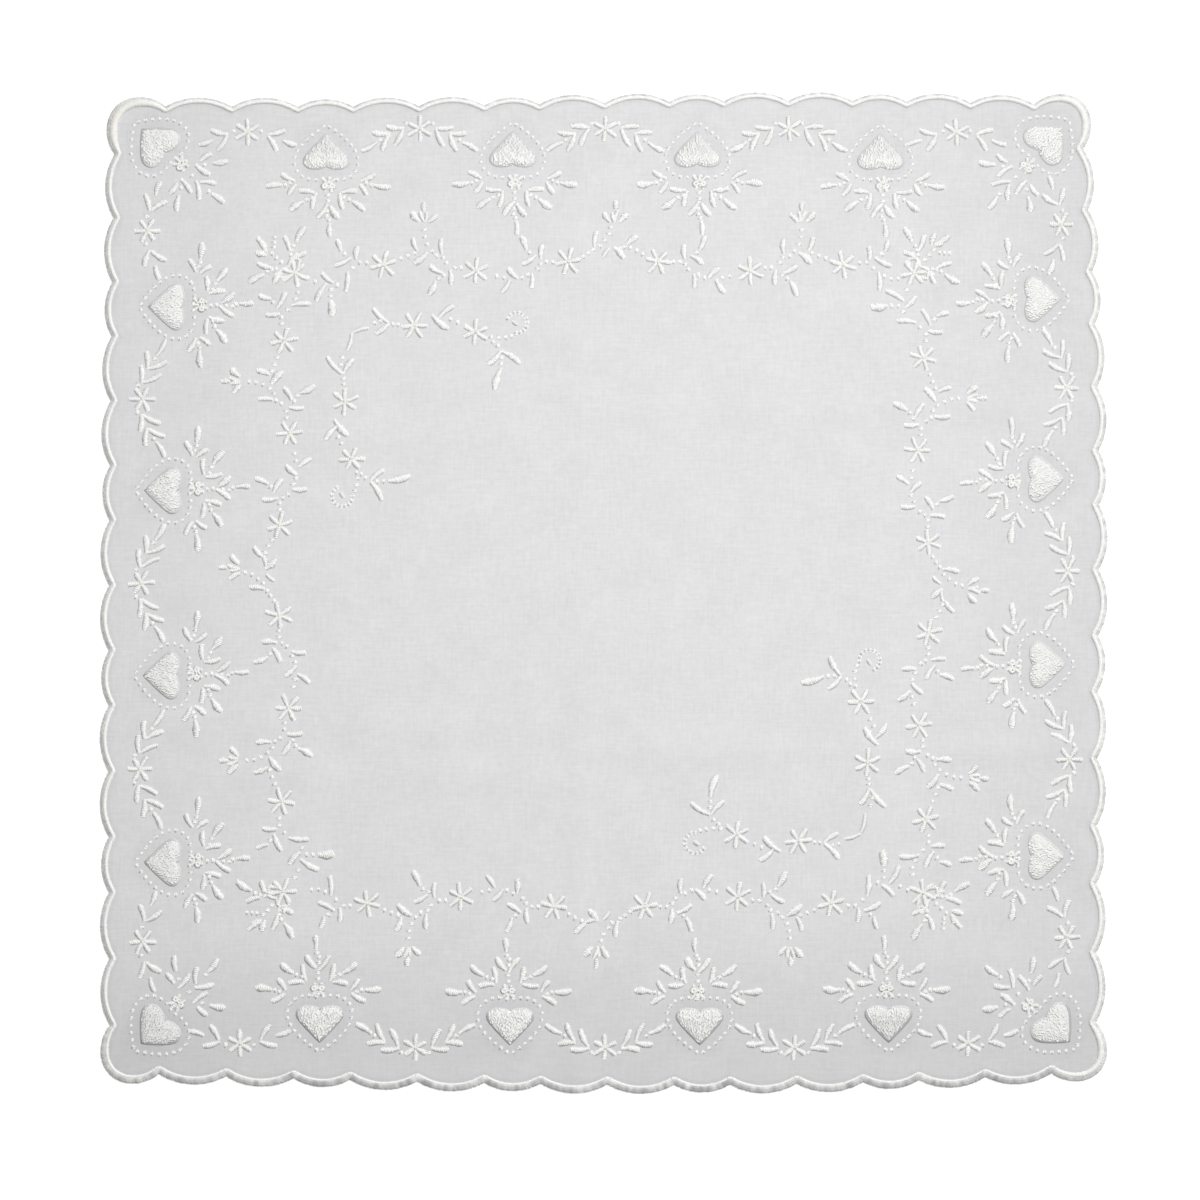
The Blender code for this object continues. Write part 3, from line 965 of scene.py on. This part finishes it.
def satin_bar():
    """One satin stitch: an arched thread, lying across y, with its feet on the cloth."""
    sections = []
    for y, height in BAR_PROFILE:
        top = height * BAR_SHOULDER_RISE
        sections.append(((-0.5, y, 0.0), (-BAR_SHOULDER, y, top), (BAR_SHOULDER, y, top),
                         (0.5, y, 0.0)))
    return stitch_from_sections("satin_bar", sections)


def hem_bar(name, section):
    """One stitch of the hem: a flat loop of thread with the given section, across y."""
    sections = []
    for x, share in HEM_BAR_PROFILE:
        reach = 1 - HEM_BAR_ENDS + HEM_BAR_ENDS * share
        sections.append([(x, y * reach, z * share) for y, z in section])
    return stitch_from_sections(name, sections)


def cord_section():
    """The cord's section, outwards and up: round, with fuller sides."""
    section = []
    for step in range(CORD_CORNERS):
        angle = 2 * math.pi * (step + 0.5) / CORD_CORNERS
        across = math.copysign(abs(math.cos(angle)) ** CORD_SQUARENESS, math.cos(angle))
        section.append((across * 0.5, math.sin(angle) * 0.5))
    return section


class Guides:
    """Centre lines to stitch over, with the stitching's size and look at each point."""

    def __init__(self):
        self.points = []
        self.edges = []
        self.looks = {"width": [], "height": [], "cream": [], "shade": []}

    def add_line(self, points, widths, heights, creams, shades, closed=False):
        """A run of points with the look at each."""
        first = len(self.points)
        self.points += points
        for values, more in zip(self.looks.values(), (widths, heights, creams, shades)):
            values += more
        self.edges += [(first + i, first + i + 1) for i in range(len(points) - 1)]
        if closed:
            self.edges.append((len(self.points) - 1, first))

    def add_all(self, other):
        """Take over another set of guides."""
        first = len(self.points)
        self.points += other.points
        self.edges += [(first + start, first + end) for start, end in other.edges]
        for attribute, values in self.looks.items():
            values += other.looks[attribute]

    def mesh(self, name):
        """The guides as a mesh of edges, with the looks as its attributes."""
        mesh = bpy.data.meshes.new(name)
        mesh.from_pydata(self.points, self.edges, [])
        for attribute, values in self.looks.items():
            mesh.attributes.new(attribute, "FLOAT", "POINT").data.foreach_set("value", values)
        return mesh

    def add_stroke(self, kind, start, end, cream=0.0, bend=0.0):
        """A stroke between two places on the cloth, in metres."""
        form = STROKES[kind]
        start, end = Vector(start), Vector(end)
        along = end - start
        aside = Vector((-along.y, along.x)) * bend
        steps = max(2, round(along.length / STROKE_STEP))
        points, widths = [], []
        for step in range(steps + 1):
            share = step / steps
            place = start + along * share + aside * math.sin(math.pi * share)
            points.append((place.x, place.y, lawn_top(place.x, place.y) - THREAD_SUNK))
            if share < form["belly"]:
                full = form["base"] + (1 - form["base"]) * smooth_step(share / form["belly"])
            else:
                full = 1 - (1 - form["tip"]) * ((share - form["belly"]) / (1 - form["belly"])) ** 2
            sway = 1 + irregular.uniform(-STROKE_SWAY, STROKE_SWAY)
            widths.append(form["width"] * MM * full * sway)
        heights = [width * PLUMPNESS for width in widths]
        self.add_line(points, widths, heights, [cream] * len(points), [0.0] * len(points))

    def add_star(self, place, x, y, turn, reach=STAR_REACH):
        """A star flower: satin arms round a small creamy knot."""
        for arm in range(STAR_ARMS):
            stray = irregular.uniform(-STAR_SWAY, STAR_SWAY)
            angle = math.radians(turn + 360 / STAR_ARMS * arm + stray)
            length = reach * irregular.uniform(*STAR_REACHES)
            way = Vector((math.cos(angle), math.sin(angle)))
            base, tip = way * STAR_HEART, way * length
            self.add_stroke("arm", place(x + base.x, y + base.y), place(x + tip.x, y + tip.y),
                            bend=irregular.uniform(-STAR_BEND, STAR_BEND))
        self.add_stroke("dash", place(x - STAR_KNOT, y), place(x + STAR_KNOT, y), cream=1.0)

    def add_bead(self, place, here, others):
        """A bead: one short fat stroke, lying towards its nearest neighbour."""
        nearest = min(others, key=lambda other: (other - here).length)
        half = (nearest - here).normalized() * BEAD_LENGTH / 2 * irregular.uniform(*BEAD_SIZES)
        self.add_stroke("bead", place(*(here - half)), place(*(here + half)))

    def add_chart(self, chart, place, cream=0.0):
        """Lay out a chart; place takes its millimetres to the cloth in metres."""
        joints = [Vector(numbers[:2]) for _, *numbers in chart]
        for index, (kind, *numbers) in enumerate(chart):
            if kind == "star":
                x, y, turn = numbers
                self.add_star(place, x, y, turn)
            elif kind == "bead":
                self.add_bead(place, joints[index], joints[:index] + joints[index + 1:])
            else:
                base, tip = joints[index].copy(), Vector(numbers[2:])
                trim = (tip - base).normalized() * STROKE_TRIM
                drift = Vector((irregular.uniform(-TIP_DRIFT, TIP_DRIFT),
                                irregular.uniform(-TIP_DRIFT, TIP_DRIFT)))
                self.add_stroke(kind, place(*(base + trim)), place(*(tip - trim + drift)),
                                cream, irregular.choice((-1, 1)) * LEAF_BEND)


# ================================================================ frames for the charts
def side_frame(side, centre_along, centre_out=0.0, flip=1):
    """The place function of a chart on a side, its centre given in millimetres."""
    def place(u, v):
        return turned(side["turn"], (centre_along + flip * u) * MM, (centre_out + v) * MM)
    return place


def corner_frame(index, flip=1, axis=0.0):
    """The place function of a chart on a corner heart: v outwards along the diagonal."""
    middle_x, middle_y = CORNER_HEARTS[index]
    half = math.sqrt(0.5)

    def place(u, v):
        u = axis + flip * u
        x, y = turned(index, (u - v) * half, (u + v) * half)
        return (middle_x + x) * MM, (middle_y + y) * MM
    return place


def side_hearts():
    """The place function's settings for every heart along the sides."""
    for side in SIDES:
        for along in HEART_PLACES:
            middle = 1 - (along * MM / HALF_RUN) ** 2
            out = side["hearts"] + HEART_BOW * (middle - 1)
            yield side, slid_along(side, along) + HEART_SHIFT, out


def heart_frames():
    """A place function for each heart, those of the corners last."""
    frames = [side_frame(side, along, out) for side, along, out in side_hearts()]
    return frames + [corner_frame(index) for index in range(len(CORNER_HEARTS))]


def bezier(arc, share):
    """A point on a cubic Bezier arc."""
    p0, p1, p2, p3 = (Vector(point) for point in arc)
    rest = 1 - share
    return (p0 * rest ** 3 + p1 * 3 * share * rest ** 2 + p2 * 3 * share ** 2 * rest
            + p3 * share ** 3)


def heart_outline(arcs, steps):
    """A heart's closed outline, clockwise from its tip, from the arcs of its right half."""
    half = []
    for arc in arcs:
        half += [bezier(arc, step / steps) for step in range(steps)]
    half.append(Vector(arcs[-1][-1]))
    return half + [Vector((-point.x, point.y)) for point in reversed(half[1:-1])]


def evenly_along(points, spacing):
    """Places at about even spacing along a line: the point, the direction and the share walked."""
    lengths = [(b - a).length for a, b in zip(points, points[1:])]
    total = sum(lengths)
    count = max(1, round(total / spacing))
    index, walked = 0, 0.0
    for place in range(count):
        target = (place + 0.5) * total / count
        while walked + lengths[index] < target:
            walked += lengths[index]
            index += 1
        way = (points[index + 1] - points[index]).normalized()
        yield points[index] + way * (target - walked), way, target / total


# ================================================================ the pieces
def near_tree(points):
    """A tree that finds the nearest of some flat points."""
    tree = kdtree.KDTree(len(points))
    for index, point in enumerate(points):
        tree.insert(point.to_3d(), index)
    tree.balance()
    return tree


def lawn_points(edge):
    """The lawn's mesh points: its edge, the rings beside the hem, and an even grid inside."""
    points = list(edge)
    for inset in HEM_RINGS:
        points += inset_edge(inset * MM)
    nearest = near_tree(edge)
    clear = HEM_RINGS[-1] * MM + LAWN_GRID / 2
    count = int(2 * LAWN_REACH / LAWN_GRID) + 1
    for row in range(count):
        for column in range(count):
            point = Vector((column * LAWN_GRID - LAWN_REACH, row * LAWN_GRID - LAWN_REACH))
            if nearest.find(point.to_3d())[2] > clear:
                points.append(point)
    return points


def side_of(x, y):
    """Which side of the cloth a place belongs to, clockwise from the top, and how far out it is."""
    if abs(x) > abs(y):
        return (1, x) if x > 0 else (3, -x)
    return (0, y) if y > 0 else (2, -y)


def lawn_shade_look(x, y, to_edge, to_hearts):
    """The lawn's painted shade: by the hem and its needle holes, round hearts, towards the border."""
    flat = Vector((x, y, 0.0))
    side, out = side_of(x, y)
    from_cord = to_edge.find(flat)[2] / MM - HEM_SIDES[side]["rim"] - HEM_SIDES[side]["cord"]
    # painted shade beside the hem's cord, where its needle holes are
    look = HEM_HOLES_AND_SHADE_STRENGTH * (1 - smooth_step((from_cord - HEM_HOLES_AND_SHADE_FROM) / HEM_HOLES_AND_SHADE_WIDTH))
    # painted shade round the padded hearts
    far = (to_hearts.find(flat)[2] - HALO_INNER) / (HALO_OUTER - HALO_INNER)
    look = max(look, HALO_STRENGTH * (1 - smooth_step(far)))
    # painted shade, darker towards the border, most at the bottom and in the near left corner
    towards = [smooth_step((reach / MM - BORDER_SHADE_START) / BORDER_SHADE_WIDTH) for reach in (y, x, -y, -x)]
    border_shade = max(strength * share for strength, share in zip(BORDER_SHADE_STRENGTHS, towards))
    return min(1.0, look + border_shade + BORDER_SHADE_NEAR_LEFT * towards[2] * towards[3])


def lawn_cloth(material):
    """The lawn: one thin sheet, cut to the hem, lying in its pressed folds."""
    edge = inset_edge(LAWN_INSET)
    corners, _, triangles, *_ = delaunay_2d_cdt(
        lawn_points(edge), [], [list(range(len(edge)))], FILL_OUTLINE, SAME_PLACE)
    mesh = bpy.data.meshes.new("lawn_cloth")
    mesh.from_pydata([(p.x, p.y, lawn_top(p.x, p.y)) for p in corners], [], triangles)
    bm = bmesh.new()
    bm.from_mesh(mesh)
    loose = [vert for vert in bm.verts if not vert.link_faces]
    bmesh.ops.delete(bm, geom=loose, context="VERTS")
    bmesh.ops.recalc_face_normals(bm, faces=bm.faces)
    if sum(face.normal.z for face in bm.faces) < 0:
        bmesh.ops.reverse_faces(bm, faces=bm.faces)
    needled = bm.verts.layers.float.new("needled")
    to_edge = near_tree(EDGE)
    to_hearts = near_tree([Vector(place(*HALO_CENTRE)) for place in heart_frames()])
    for vert in bm.verts:
        vert[needled] = lawn_shade_look(vert.co.x, vert.co.y, to_edge, to_hearts)
    bm.to_mesh(mesh)
    bm.free()
    mesh.materials.append(material)
    mesh.shade_smooth()
    piece = bpy.data.objects.new("lawn_cloth", mesh)
    bpy.context.scene.collection.objects.link(piece)
    thickness = piece.modifiers.new("thickness", "SOLIDIFY")
    thickness.thickness = LAWN_THICK
    thickness.offset = -1.0
    return piece


def run_stations(kind, run, side):
    """Stitch places along one scallop or lobe: edge point, direction outwards, and the hem there."""
    for point, way, share in evenly_along(run, HEM_PITCH):
        yield point, math.atan2(way.x, -way.y), hem_here(kind, side, share)


def hem_here(kind, side, share):
    """The hem's cord, rim, shade and cream along a scallop of a side or the lobe after it."""
    here = HEM_SIDES[side] | {"cream": 0.0}
    if kind == "scallop":
        return here
    lobe_look = HEM_LOBES[side]
    following = HEM_SIDES[(side + 1) % len(SIDES)] | {"cream": 0.0}
    power = math.log(0.5) / math.log(lobe_look["peak"])
    swelling = math.sin(math.pi * share ** power) ** LOBE_SWELLING
    return {key: (here[key] + (following[key] - here[key]) * share) * (1 - swelling)
            + lobe_look[key] * swelling for key in here}


def hem_stations():
    """All the hem's stitches in order, fanned round every notch."""
    stations = []
    side = 0
    for index, (kind, run) in enumerate(EDGE_RUNS):
        stations += run_stations(kind, run, side)
        side = (side + (kind == "lobe")) % len(SIDES)
        next_kind, next_run = EDGE_RUNS[(index + 1) % len(EDGE_RUNS)]
        _, out, hem = stations[-1]
        _, next_out, _ = next(run_stations(next_kind, next_run, side))
        gap = (next_out - out + math.pi) % (2 * math.pi) - math.pi
        steps = max(1, round(abs(gap) / HEM_FAN_STEP))
        for step in range(1, steps):
            stations.append((run[-1], out + gap * step / steps, hem))
    return stations


def hem_lines():
    """The hem's two lines: the raised cord, and the flat thread wrapped round the cut edge."""
    cord, rim = [], []
    for point, out, hem in hem_stations():
        outwards = Vector((math.cos(out), math.sin(out)))
        cord_width, rim_width = hem["cord"] * MM, hem["rim"] * MM
        middle = point - outwards * (rim_width + cord_width / 2)
        height = max(lawn_top(middle.x, middle.y) + CORD_LIFT, CORD_HEIGHT / 2)
        cord.append((middle.to_3d() + Vector((0, 0, height)), cord_width, CORD_HEIGHT,
                     hem["cream"], 0.0))
        wrap, tall = rim_width + RIM_UNDER_CORD, hem["tall"] * MM
        middle = point - outwards * wrap / 2
        height = max(lawn_top(middle.x, middle.y) - RIM_DROP, 0.0) + tall / 2
        # the rim's own grey with painted shade, varied in patches
        patch = noise.noise(middle.to_3d() / RIM_MOTTLE)
        rim.append((middle.to_3d() + Vector((0, 0, height)), wrap, tall, 0.0,
                    hem["shade"] * (1 + patch)))
    return {"hem_cord": cord, "hem_rim": rim}


def satin_hem(tree, thread):
    """The hem, in satin stitch: one piece for each of its two lines."""
    bars = {"hem_cord": hem_bar("cord_bar", cord_section()),
            "hem_rim": hem_bar("rim_bar", RIM_SECTION)}
    pieces = []
    for seed, (name, line) in enumerate(hem_lines().items(), start=HEM_SEED):
        guides = Guides()
        guides.add_line(*(list(values) for values in zip(*line)), closed=True)
        pieces.append(worked(name, guides.mesh(name), tree, {
            "Stitch": bars[name], "Thread": thread, "Even Spacing": False, "Pitch": HEM_PITCH,
            "Stitch Size": HEM_STITCH_SIZE, "Slant": 0.0, "Unevenness": HEM_UNEVENNESS[name],
            "Seed": seed}))
    return pieces


def satin_work(name, guides, tree, bar, thread, seed):
    """A group of motifs in satin stitch."""
    return worked(name, guides.mesh(name), tree, {
        "Stitch": bar, "Thread": thread, "Even Spacing": True, "Pitch": THREAD_PITCH,
        "Stitch Size": THREAD_SIZE, "Slant": THREAD_SLANT, "Unevenness": THREAD_UNEVENNESS,
        "Seed": seed})


def fill_outlines():
    """Every heart's place function with the outline of its padding."""
    frames = heart_frames()
    for index, place in enumerate(frames):
        arcs = FILL_ARCS if index < len(frames) - len(CORNER_HEARTS) else CORNER_FILL_ARCS
        yield place, heart_outline(arcs, FILL_ARC_STEPS)


def pad_rings(bm, place, outline, look):
    """The rings of one heart's padding, from its edge to its crown."""
    grain, shade, rough, gap = (bm.verts.layers.float[name] for name in FILL_LAYERS)
    out_x, out_y = Vector(place(0, 1)) - Vector(place(0, 0))
    turn = math.atan2(out_y, out_x) - math.pi / 2
    rings = []
    for share in FILL_RINGS:
        ring = []
        for point in outline:
            x, y = place(point.x * share, point.y * share)
            thinned = look["thin"] * smooth_step((point.y * share - THIN_FROM) / THIN_WIDTH)
            plump = FILL_HEIGHT * (1 - THIN_SINKS * thinned) * (1 - share ** FILL_PLUMP)
            vert = bm.verts.new((x, y, lawn_top(x, y) + plump - THREAD_SUNK))
            vert[grain] = turn
            vert[shade] = min(1.0, thinned * THIN_SHADE + look["dull"])
            vert[rough] = look["rough"]
            inside = smooth_step((1 - share) / GAP_WIDTH)
            # painted shade between the rough stitches, on top of the padding's own grey
            vert[gap] = min(1.0, vert[shade] + look["rough"] * GAP_SHADE * inside)
            ring.append(vert)
        rings.append(ring)
    return rings


def heart_pads():
    """The hearts' padding: low domes, with the direction of their stitches as grain."""
    bm = bmesh.new()
    for name in FILL_LAYERS:
        bm.verts.layers.float.new(name)
    for (place, outline), look in zip(fill_outlines(), FILL_LOOKS):
        rings = pad_rings(bm, place, outline, look)
        for ring, inner in zip(rings, rings[1:]):
            for index in range(len(ring)):
                bm.faces.new((ring[index - 1], ring[index], inner[index], inner[index - 1]))
        bm.faces.new(rings[-1])
        bm.faces.new(list(reversed(rings[0])))
    bmesh.ops.recalc_face_normals(bm, faces=bm.faces)
    bmesh.ops.triangulate(bm, faces=bm.faces)
    mesh = bpy.data.meshes.new("heart_fills")
    bm.to_mesh(mesh)
    bm.free()
    return mesh


def heart_fills(tree, bar, thread):
    """The hearts' padding with its filling stitches."""
    return worked("heart_fills", heart_pads(), tree, {
        "Stitch": bar, "Thread": thread, "Spacing": FILL_SPACING, "Length": FILL_LENGTH,
        "Width": FILL_WIDTH, "Height": FILL_STAND, "Seed": FILL_SEED})


def fill_edge_guides():
    """Painted shadow on the lawn round every heart's padding, most along its flanks."""
    guides = Guides()
    for (place, outline), look in zip(fill_outlines(), FILL_LOOKS):
        flat = [place(*point) for point in outline]
        flank_shadow = [look["edge"] * smooth_step((point.y - FLANK_FROM) / FLANK_WIDTH)
                  for point in outline]
        count = len(flat)
        guides.add_line([(x, y, lawn_top(x, y) - THREAD_SUNK) for x, y in flat],
                        [FILL_EDGE] * count, [0.0] * count, [0.0] * count, flank_shadow, closed=True)
    return guides


def heart_outline_guides():
    """A line of dots round every heart."""
    guides = Guides()
    outline = heart_outline(HEART_ARCS, HEART_ARC_STEPS)
    for place in heart_frames():
        for point, way, _ in evenly_along(outline + outline[:1], HEART_DOT_SPACING):
            half = way * irregular.uniform(*DOT_LENGTHS) / 2
            half.rotate(Matrix.Rotation(irregular.uniform(-DOT_SWAY, DOT_SWAY), 2))
            guides.add_stroke("dot", place(*(point - half)), place(*(point + half)))
    return guides


def heart_bow_guides():
    """A small crown-like bow, with a loop each side, at every heart's notch."""
    guides = Guides()
    frames = heart_frames()
    loop_x, loop_y, reach_x, reach_y = BOW_LOOP
    for index, place in enumerate(frames):
        x, y = BOW_PLACES[0] if index < len(frames) - len(CORNER_HEARTS) else BOW_PLACES[1]

        def at_notch(u, v):
            return place(x + u, y + v)
        guides.add_chart(BOW, at_notch, BOW_CREAM)
        for flip in HERE_AND_MIRRORED:
            points = []
            for step in range(BOW_LOOP_STEPS):
                angle = 2 * math.pi * step / BOW_LOOP_STEPS
                flat = at_notch(flip * loop_x + reach_x * math.cos(angle),
                                loop_y + reach_y * math.sin(angle))
                points.append((*flat, lawn_top(*flat) - THREAD_SUNK))
            count = len(points)
            guides.add_line(points, [BOW_LOOP_WIDTH * BOW_LOOP_SLIM] * count,
                            [BOW_LOOP_WIDTH * PLUMPNESS] * count,
                            [BOW_CREAM] * count, [0.0] * count, closed=True)
    return guides


def heart_spray_guides():
    """The leaf sprays under every heart."""
    guides = Guides()
    for side, along, out in side_hearts():
        guides.add_chart(SPRAY_MIDDLE, side_frame(side, along, out))
        for flip in HERE_AND_MIRRORED:
            guides.add_chart(SPRAY_HALF, side_frame(side, along + SPRAY_AXIS, out, flip))
    for index in range(len(CORNER_HEARTS)):
        guides.add_chart(CORNER_SPRAY_MIDDLE, corner_frame(index, axis=CORNER_SPRAY_AXIS))
        for flip in HERE_AND_MIRRORED:
            guides.add_chart(CORNER_SPRAY_HALF, corner_frame(index, flip, CORNER_SPRAY_AXIS))
    return guides


def outer_garland_guides():
    """Star flowers and leaf chains between the hearts, just inside the hem."""
    guides = Guides()
    for side in SIDES:
        reach = side["hearts"] - SIDES[0]["hearts"]
        for along, off, chain in OUTER_PLACES:
            middle = slid_along(side, along) + OUTER_SHIFT
            out = OUTER_LINE + reach + off
            guides.add_star(side_frame(side, middle, out), 0.0, 0.0, OUTER_STAR_TURN,
                            OUTER_STAR_REACH)
            for flip in HERE_AND_MIRRORED:
                guides.add_chart(chain, side_frame(side, middle, out, flip))
    return guides


def inner_garland_guides():
    """The garland of star flowers, berries and links inside the hearts."""
    guides = Guides()
    for side in SIDES:
        shift, reach = side["garland_shift"], side["garland_reach"]
        place = side_frame(side, shift, reach)
        for flip in HERE_AND_MIRRORED:
            guides.add_chart(GARLAND_HALF, side_frame(side, shift, reach, flip))
        for chart in (GARLAND_MIDDLE, GARLAND_RIGHT_END, GARLAND_LEFT_END):
            guides.add_chart(chart, place)
    return guides


def bouquet_guides():
    """A star flower with three sprigs inside each corner."""
    guides = Guides()
    for index, (star_x, star_y) in enumerate(BOUQUET_STARS):
        def upright(x, y):
            x, y = turned(index, x, y)
            return (star_x + x) * MM, (star_y + y) * MM

        def sideways(x, y):
            return upright(-y, -x)
        guides.add_star(upright, 0.0, 0.0, BOUQUET_STAR_TURN)
        guides.add_chart(BOUQUET_MIDDLE, upright)
        for place in (upright, sideways):
            guides.add_chart(BOUQUET_SPRIG, place)
    return guides


def curl(guides, place):
    """The curl at the end of an inner spray: short stitches round a low creamy knot."""
    x, y = CURL_MIDDLE
    for stitch in range(CURL_STITCHES):
        angle = CURL_START + CURL_SWEEP * stitch / (CURL_STITCHES - 1)
        way = Vector((math.cos(angle), math.sin(angle)))
        inner, outer = way * (CURL_REACH - CURL_STITCH), way * (CURL_REACH + CURL_STITCH)
        guides.add_stroke("dash", place(x + inner.x, y + inner.y), place(x + outer.x, y + outer.y))
    start, end = (place(x + u, y + v) for u, v in CURL_KNOT)
    guides.add_stroke("dash", start, end, cream=CURL_CREAM)


def inner_spray_guides():
    """The two L-shaped sprays in opposite corners of the plain middle."""
    guides = Guides()
    for joint_x, joint_y, turns, middle, end in SPRAY_JOINTS:
        def level(u, v):
            x, y = turned(turns, u, v)
            return (joint_x + x) * MM, (joint_y + y) * MM

        def hanging(u, v):
            bulge = math.sin(math.pi * min(max(u, 0.0) / SPRAY_BULGE_END, 1.0))
            u += end * smooth_step(u / SPRAY_DRAWN_FROM) + (middle - end) * bulge
            x, y = turned(turns, -v, -u)
            return (joint_x + x) * MM, (joint_y + y) * MM
        for place in (level, hanging):
            guides.add_chart(SPRAY_ARM, place)
            curl(guides, place)
    return guides


def marks_tree():
    """A thin flat ribbon under every stroke, a little wider than it: needle holes and painted shadow.
    """
    tree = new_tree("needle_marks", (
        ("Lawn", "Material"), ("Margin", "Float"), ("Thickness", "Float"), ("Lift", "Float"),
        ("Strength", "Float")))
    given = add(tree, "NodeGroupInput").outputs
    upwards = add(tree, "ShaderNodeCombineXYZ", {"Z": given["Lift"]})
    lifted = add(tree, "GeometryNodeSetPosition", {
        "Geometry": given["Geometry"], "Offset": upwards.outputs[0]})
    shade = add(tree, "GeometryNodeInputNamedAttribute", {"Name": "shade"}, data_type="FLOAT")
    grey = add(tree, "ShaderNodeMath", {0: shade.outputs[0], 1: given["Strength"]},
               operation="ADD")
    marked = add(tree, "GeometryNodeStoreNamedAttribute", {
        "Geometry": lifted.outputs[0], "Name": "needled", "Value": grey.outputs[0]},
        data_type="FLOAT", domain="POINT")
    line = add(tree, "GeometryNodeMeshToCurve", {"Mesh": marked.outputs[0]})
    upright = add(tree, "GeometryNodeSetCurveNormal", {"Curve": line.outputs[0]}, mode="Z_UP")
    width = add(tree, "GeometryNodeInputNamedAttribute", {"Name": "width"}, data_type="FLOAT")
    half = add(tree, "ShaderNodeMath", {0: width.outputs[0], 1: 0.5, 2: given["Margin"]},
               operation="MULTIPLY_ADD")
    section = add(tree, "GeometryNodeCurvePrimitiveQuadrilateral", {
        "Width": 2.0, "Height": given["Thickness"]}, mode="RECTANGLE")
    ribbon = add(tree, "GeometryNodeCurveToMesh", {
        "Curve": upright.outputs[0], "Profile Curve": section.outputs[0],
        "Scale": half.outputs[0], "Fill Caps": True})
    real = add(tree, "GeometryNodeRealizeInstances", {"Geometry": ribbon.outputs[0]})
    clothed = add(tree, "GeometryNodeSetMaterial", {
        "Geometry": real.outputs[0], "Material": given["Lawn"]})
    add(tree, "NodeGroupOutput", {"Geometry": clothed.outputs[0]})
    return tree


def embroidery(thread, lawn):
    """All the pieces worked in thread, and the needle holes and painted shadow round their strokes."""
    satin = satin_tree()
    bar = satin_bar()
    pieces = satin_hem(satin, thread)
    pieces.append(heart_fills(filling_tree(), bar, thread))
    works = (
        ("heart_outlines", heart_outline_guides),
        ("heart_bows", heart_bow_guides),
        ("heart_sprays", heart_spray_guides),
        ("outer_garland", outer_garland_guides),
        ("inner_garland", inner_garland_guides),
        ("corner_bouquets", bouquet_guides),
        ("inner_sprays", inner_spray_guides),
    )
    every_stroke = Guides()
    for seed, (name, make_guides) in enumerate(works, start=MOTIF_SEED):
        guides = make_guides()
        every_stroke.add_all(guides)
        pieces.append(satin_work(name, guides, satin, bar, thread, seed))
    every_stroke.add_all(fill_edge_guides())
    marks = worked("needle_marks", every_stroke.mesh("needle_marks"), marks_tree(), {
        "Lawn": lawn, "Margin": MARK_MARGIN, "Thickness": MARK_THICK, "Lift": MARK_LIFT,
        "Strength": MARK_STRENGTH})
    return pieces, marks


# ================================================================ studio
def studio_floor():
    """A broad sheet of white paper for the cloth to lie on."""
    mesh = bpy.data.meshes.new("studio_floor")
    bm = bmesh.new()
    bmesh.ops.create_grid(bm, x_segments=1, y_segments=1, size=FLOOR_HALF)
    bm.to_mesh(mesh)
    bm.free()
    mesh.materials.append(studio_paper())
    floor = bpy.data.objects.new("studio_floor", mesh)
    bpy.context.scene.collection.objects.link(floor)
    return floor


def aimed(obj, position, target):
    """Stand a lamp or the camera at a position and point it at a target."""
    obj.location = position
    obj.rotation_euler = (Vector(target) - Vector(position)).to_track_quat("-Z", "Y").to_euler()
    bpy.context.scene.collection.objects.link(obj)


def soft_lamp(name, power, size, position, target):
    """A round lamp of a size at a position, aimed at a target."""
    data = bpy.data.lights.new(name, "AREA")
    data.energy = power
    data.shape = "DISK"
    data.size = size
    aimed(bpy.data.objects.new(name, data), position, target)


def lights():
    """A soft slanting key from the upper right, a broad lamp close above, and a pale room."""
    key = bpy.data.lights.new("window", "SUN")
    key.energy = KEY_STRENGTH
    key.angle = KEY_ANGLE
    aimed(bpy.data.objects.new("window", key), KEY_FROM, (0.0, 0.0, 0.0))
    soft_lamp("overhead", OVERHEAD_POWER, OVERHEAD_SIZE, (*OVERHEAD_PLACE, OVERHEAD_HEIGHT),
              (*OVERHEAD_PLACE, 0.0))
    world = bpy.data.worlds.new("pale_room")
    world.use_nodes = True
    background = world.node_tree.nodes["Background"]
    background.inputs["Color"].default_value = srgb("FFFFFF")
    background.inputs["Strength"].default_value = ROOM_STRENGTH
    bpy.context.scene.world = world


def camera():
    """The camera, almost straight above the cloth."""
    data = bpy.data.cameras.new("camera")
    data.lens = CAMERA_LENS
    data.sensor_width = CAMERA_SENSOR
    data.clip_start = CAMERA_CLIP
    aim = Vector(CAMERA_AIM)
    back = Vector((0.0, -math.sin(CAMERA_TILT), math.cos(CAMERA_TILT))) * CAMERA_DISTANCE
    viewpoint = bpy.data.objects.new("camera", data)
    aimed(viewpoint, aim + back, aim)
    bpy.context.scene.camera = viewpoint


def main():
    """Light and stage the cloth, work its pieces and attach them to the root body."""
    bpy.context.scene.view_settings.view_transform = "Standard"
    camera()
    lights()
    floor = studio_floor()

    lawn = cotton_lawn()
    cloth = lawn_cloth(lawn)
    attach(cloth, "root")
    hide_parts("cloth")
    thread_pieces, marks = embroidery(embroidery_thread(), lawn)
    for piece in thread_pieces:
        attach(piece, "root")
    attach(marks, "root")


main()
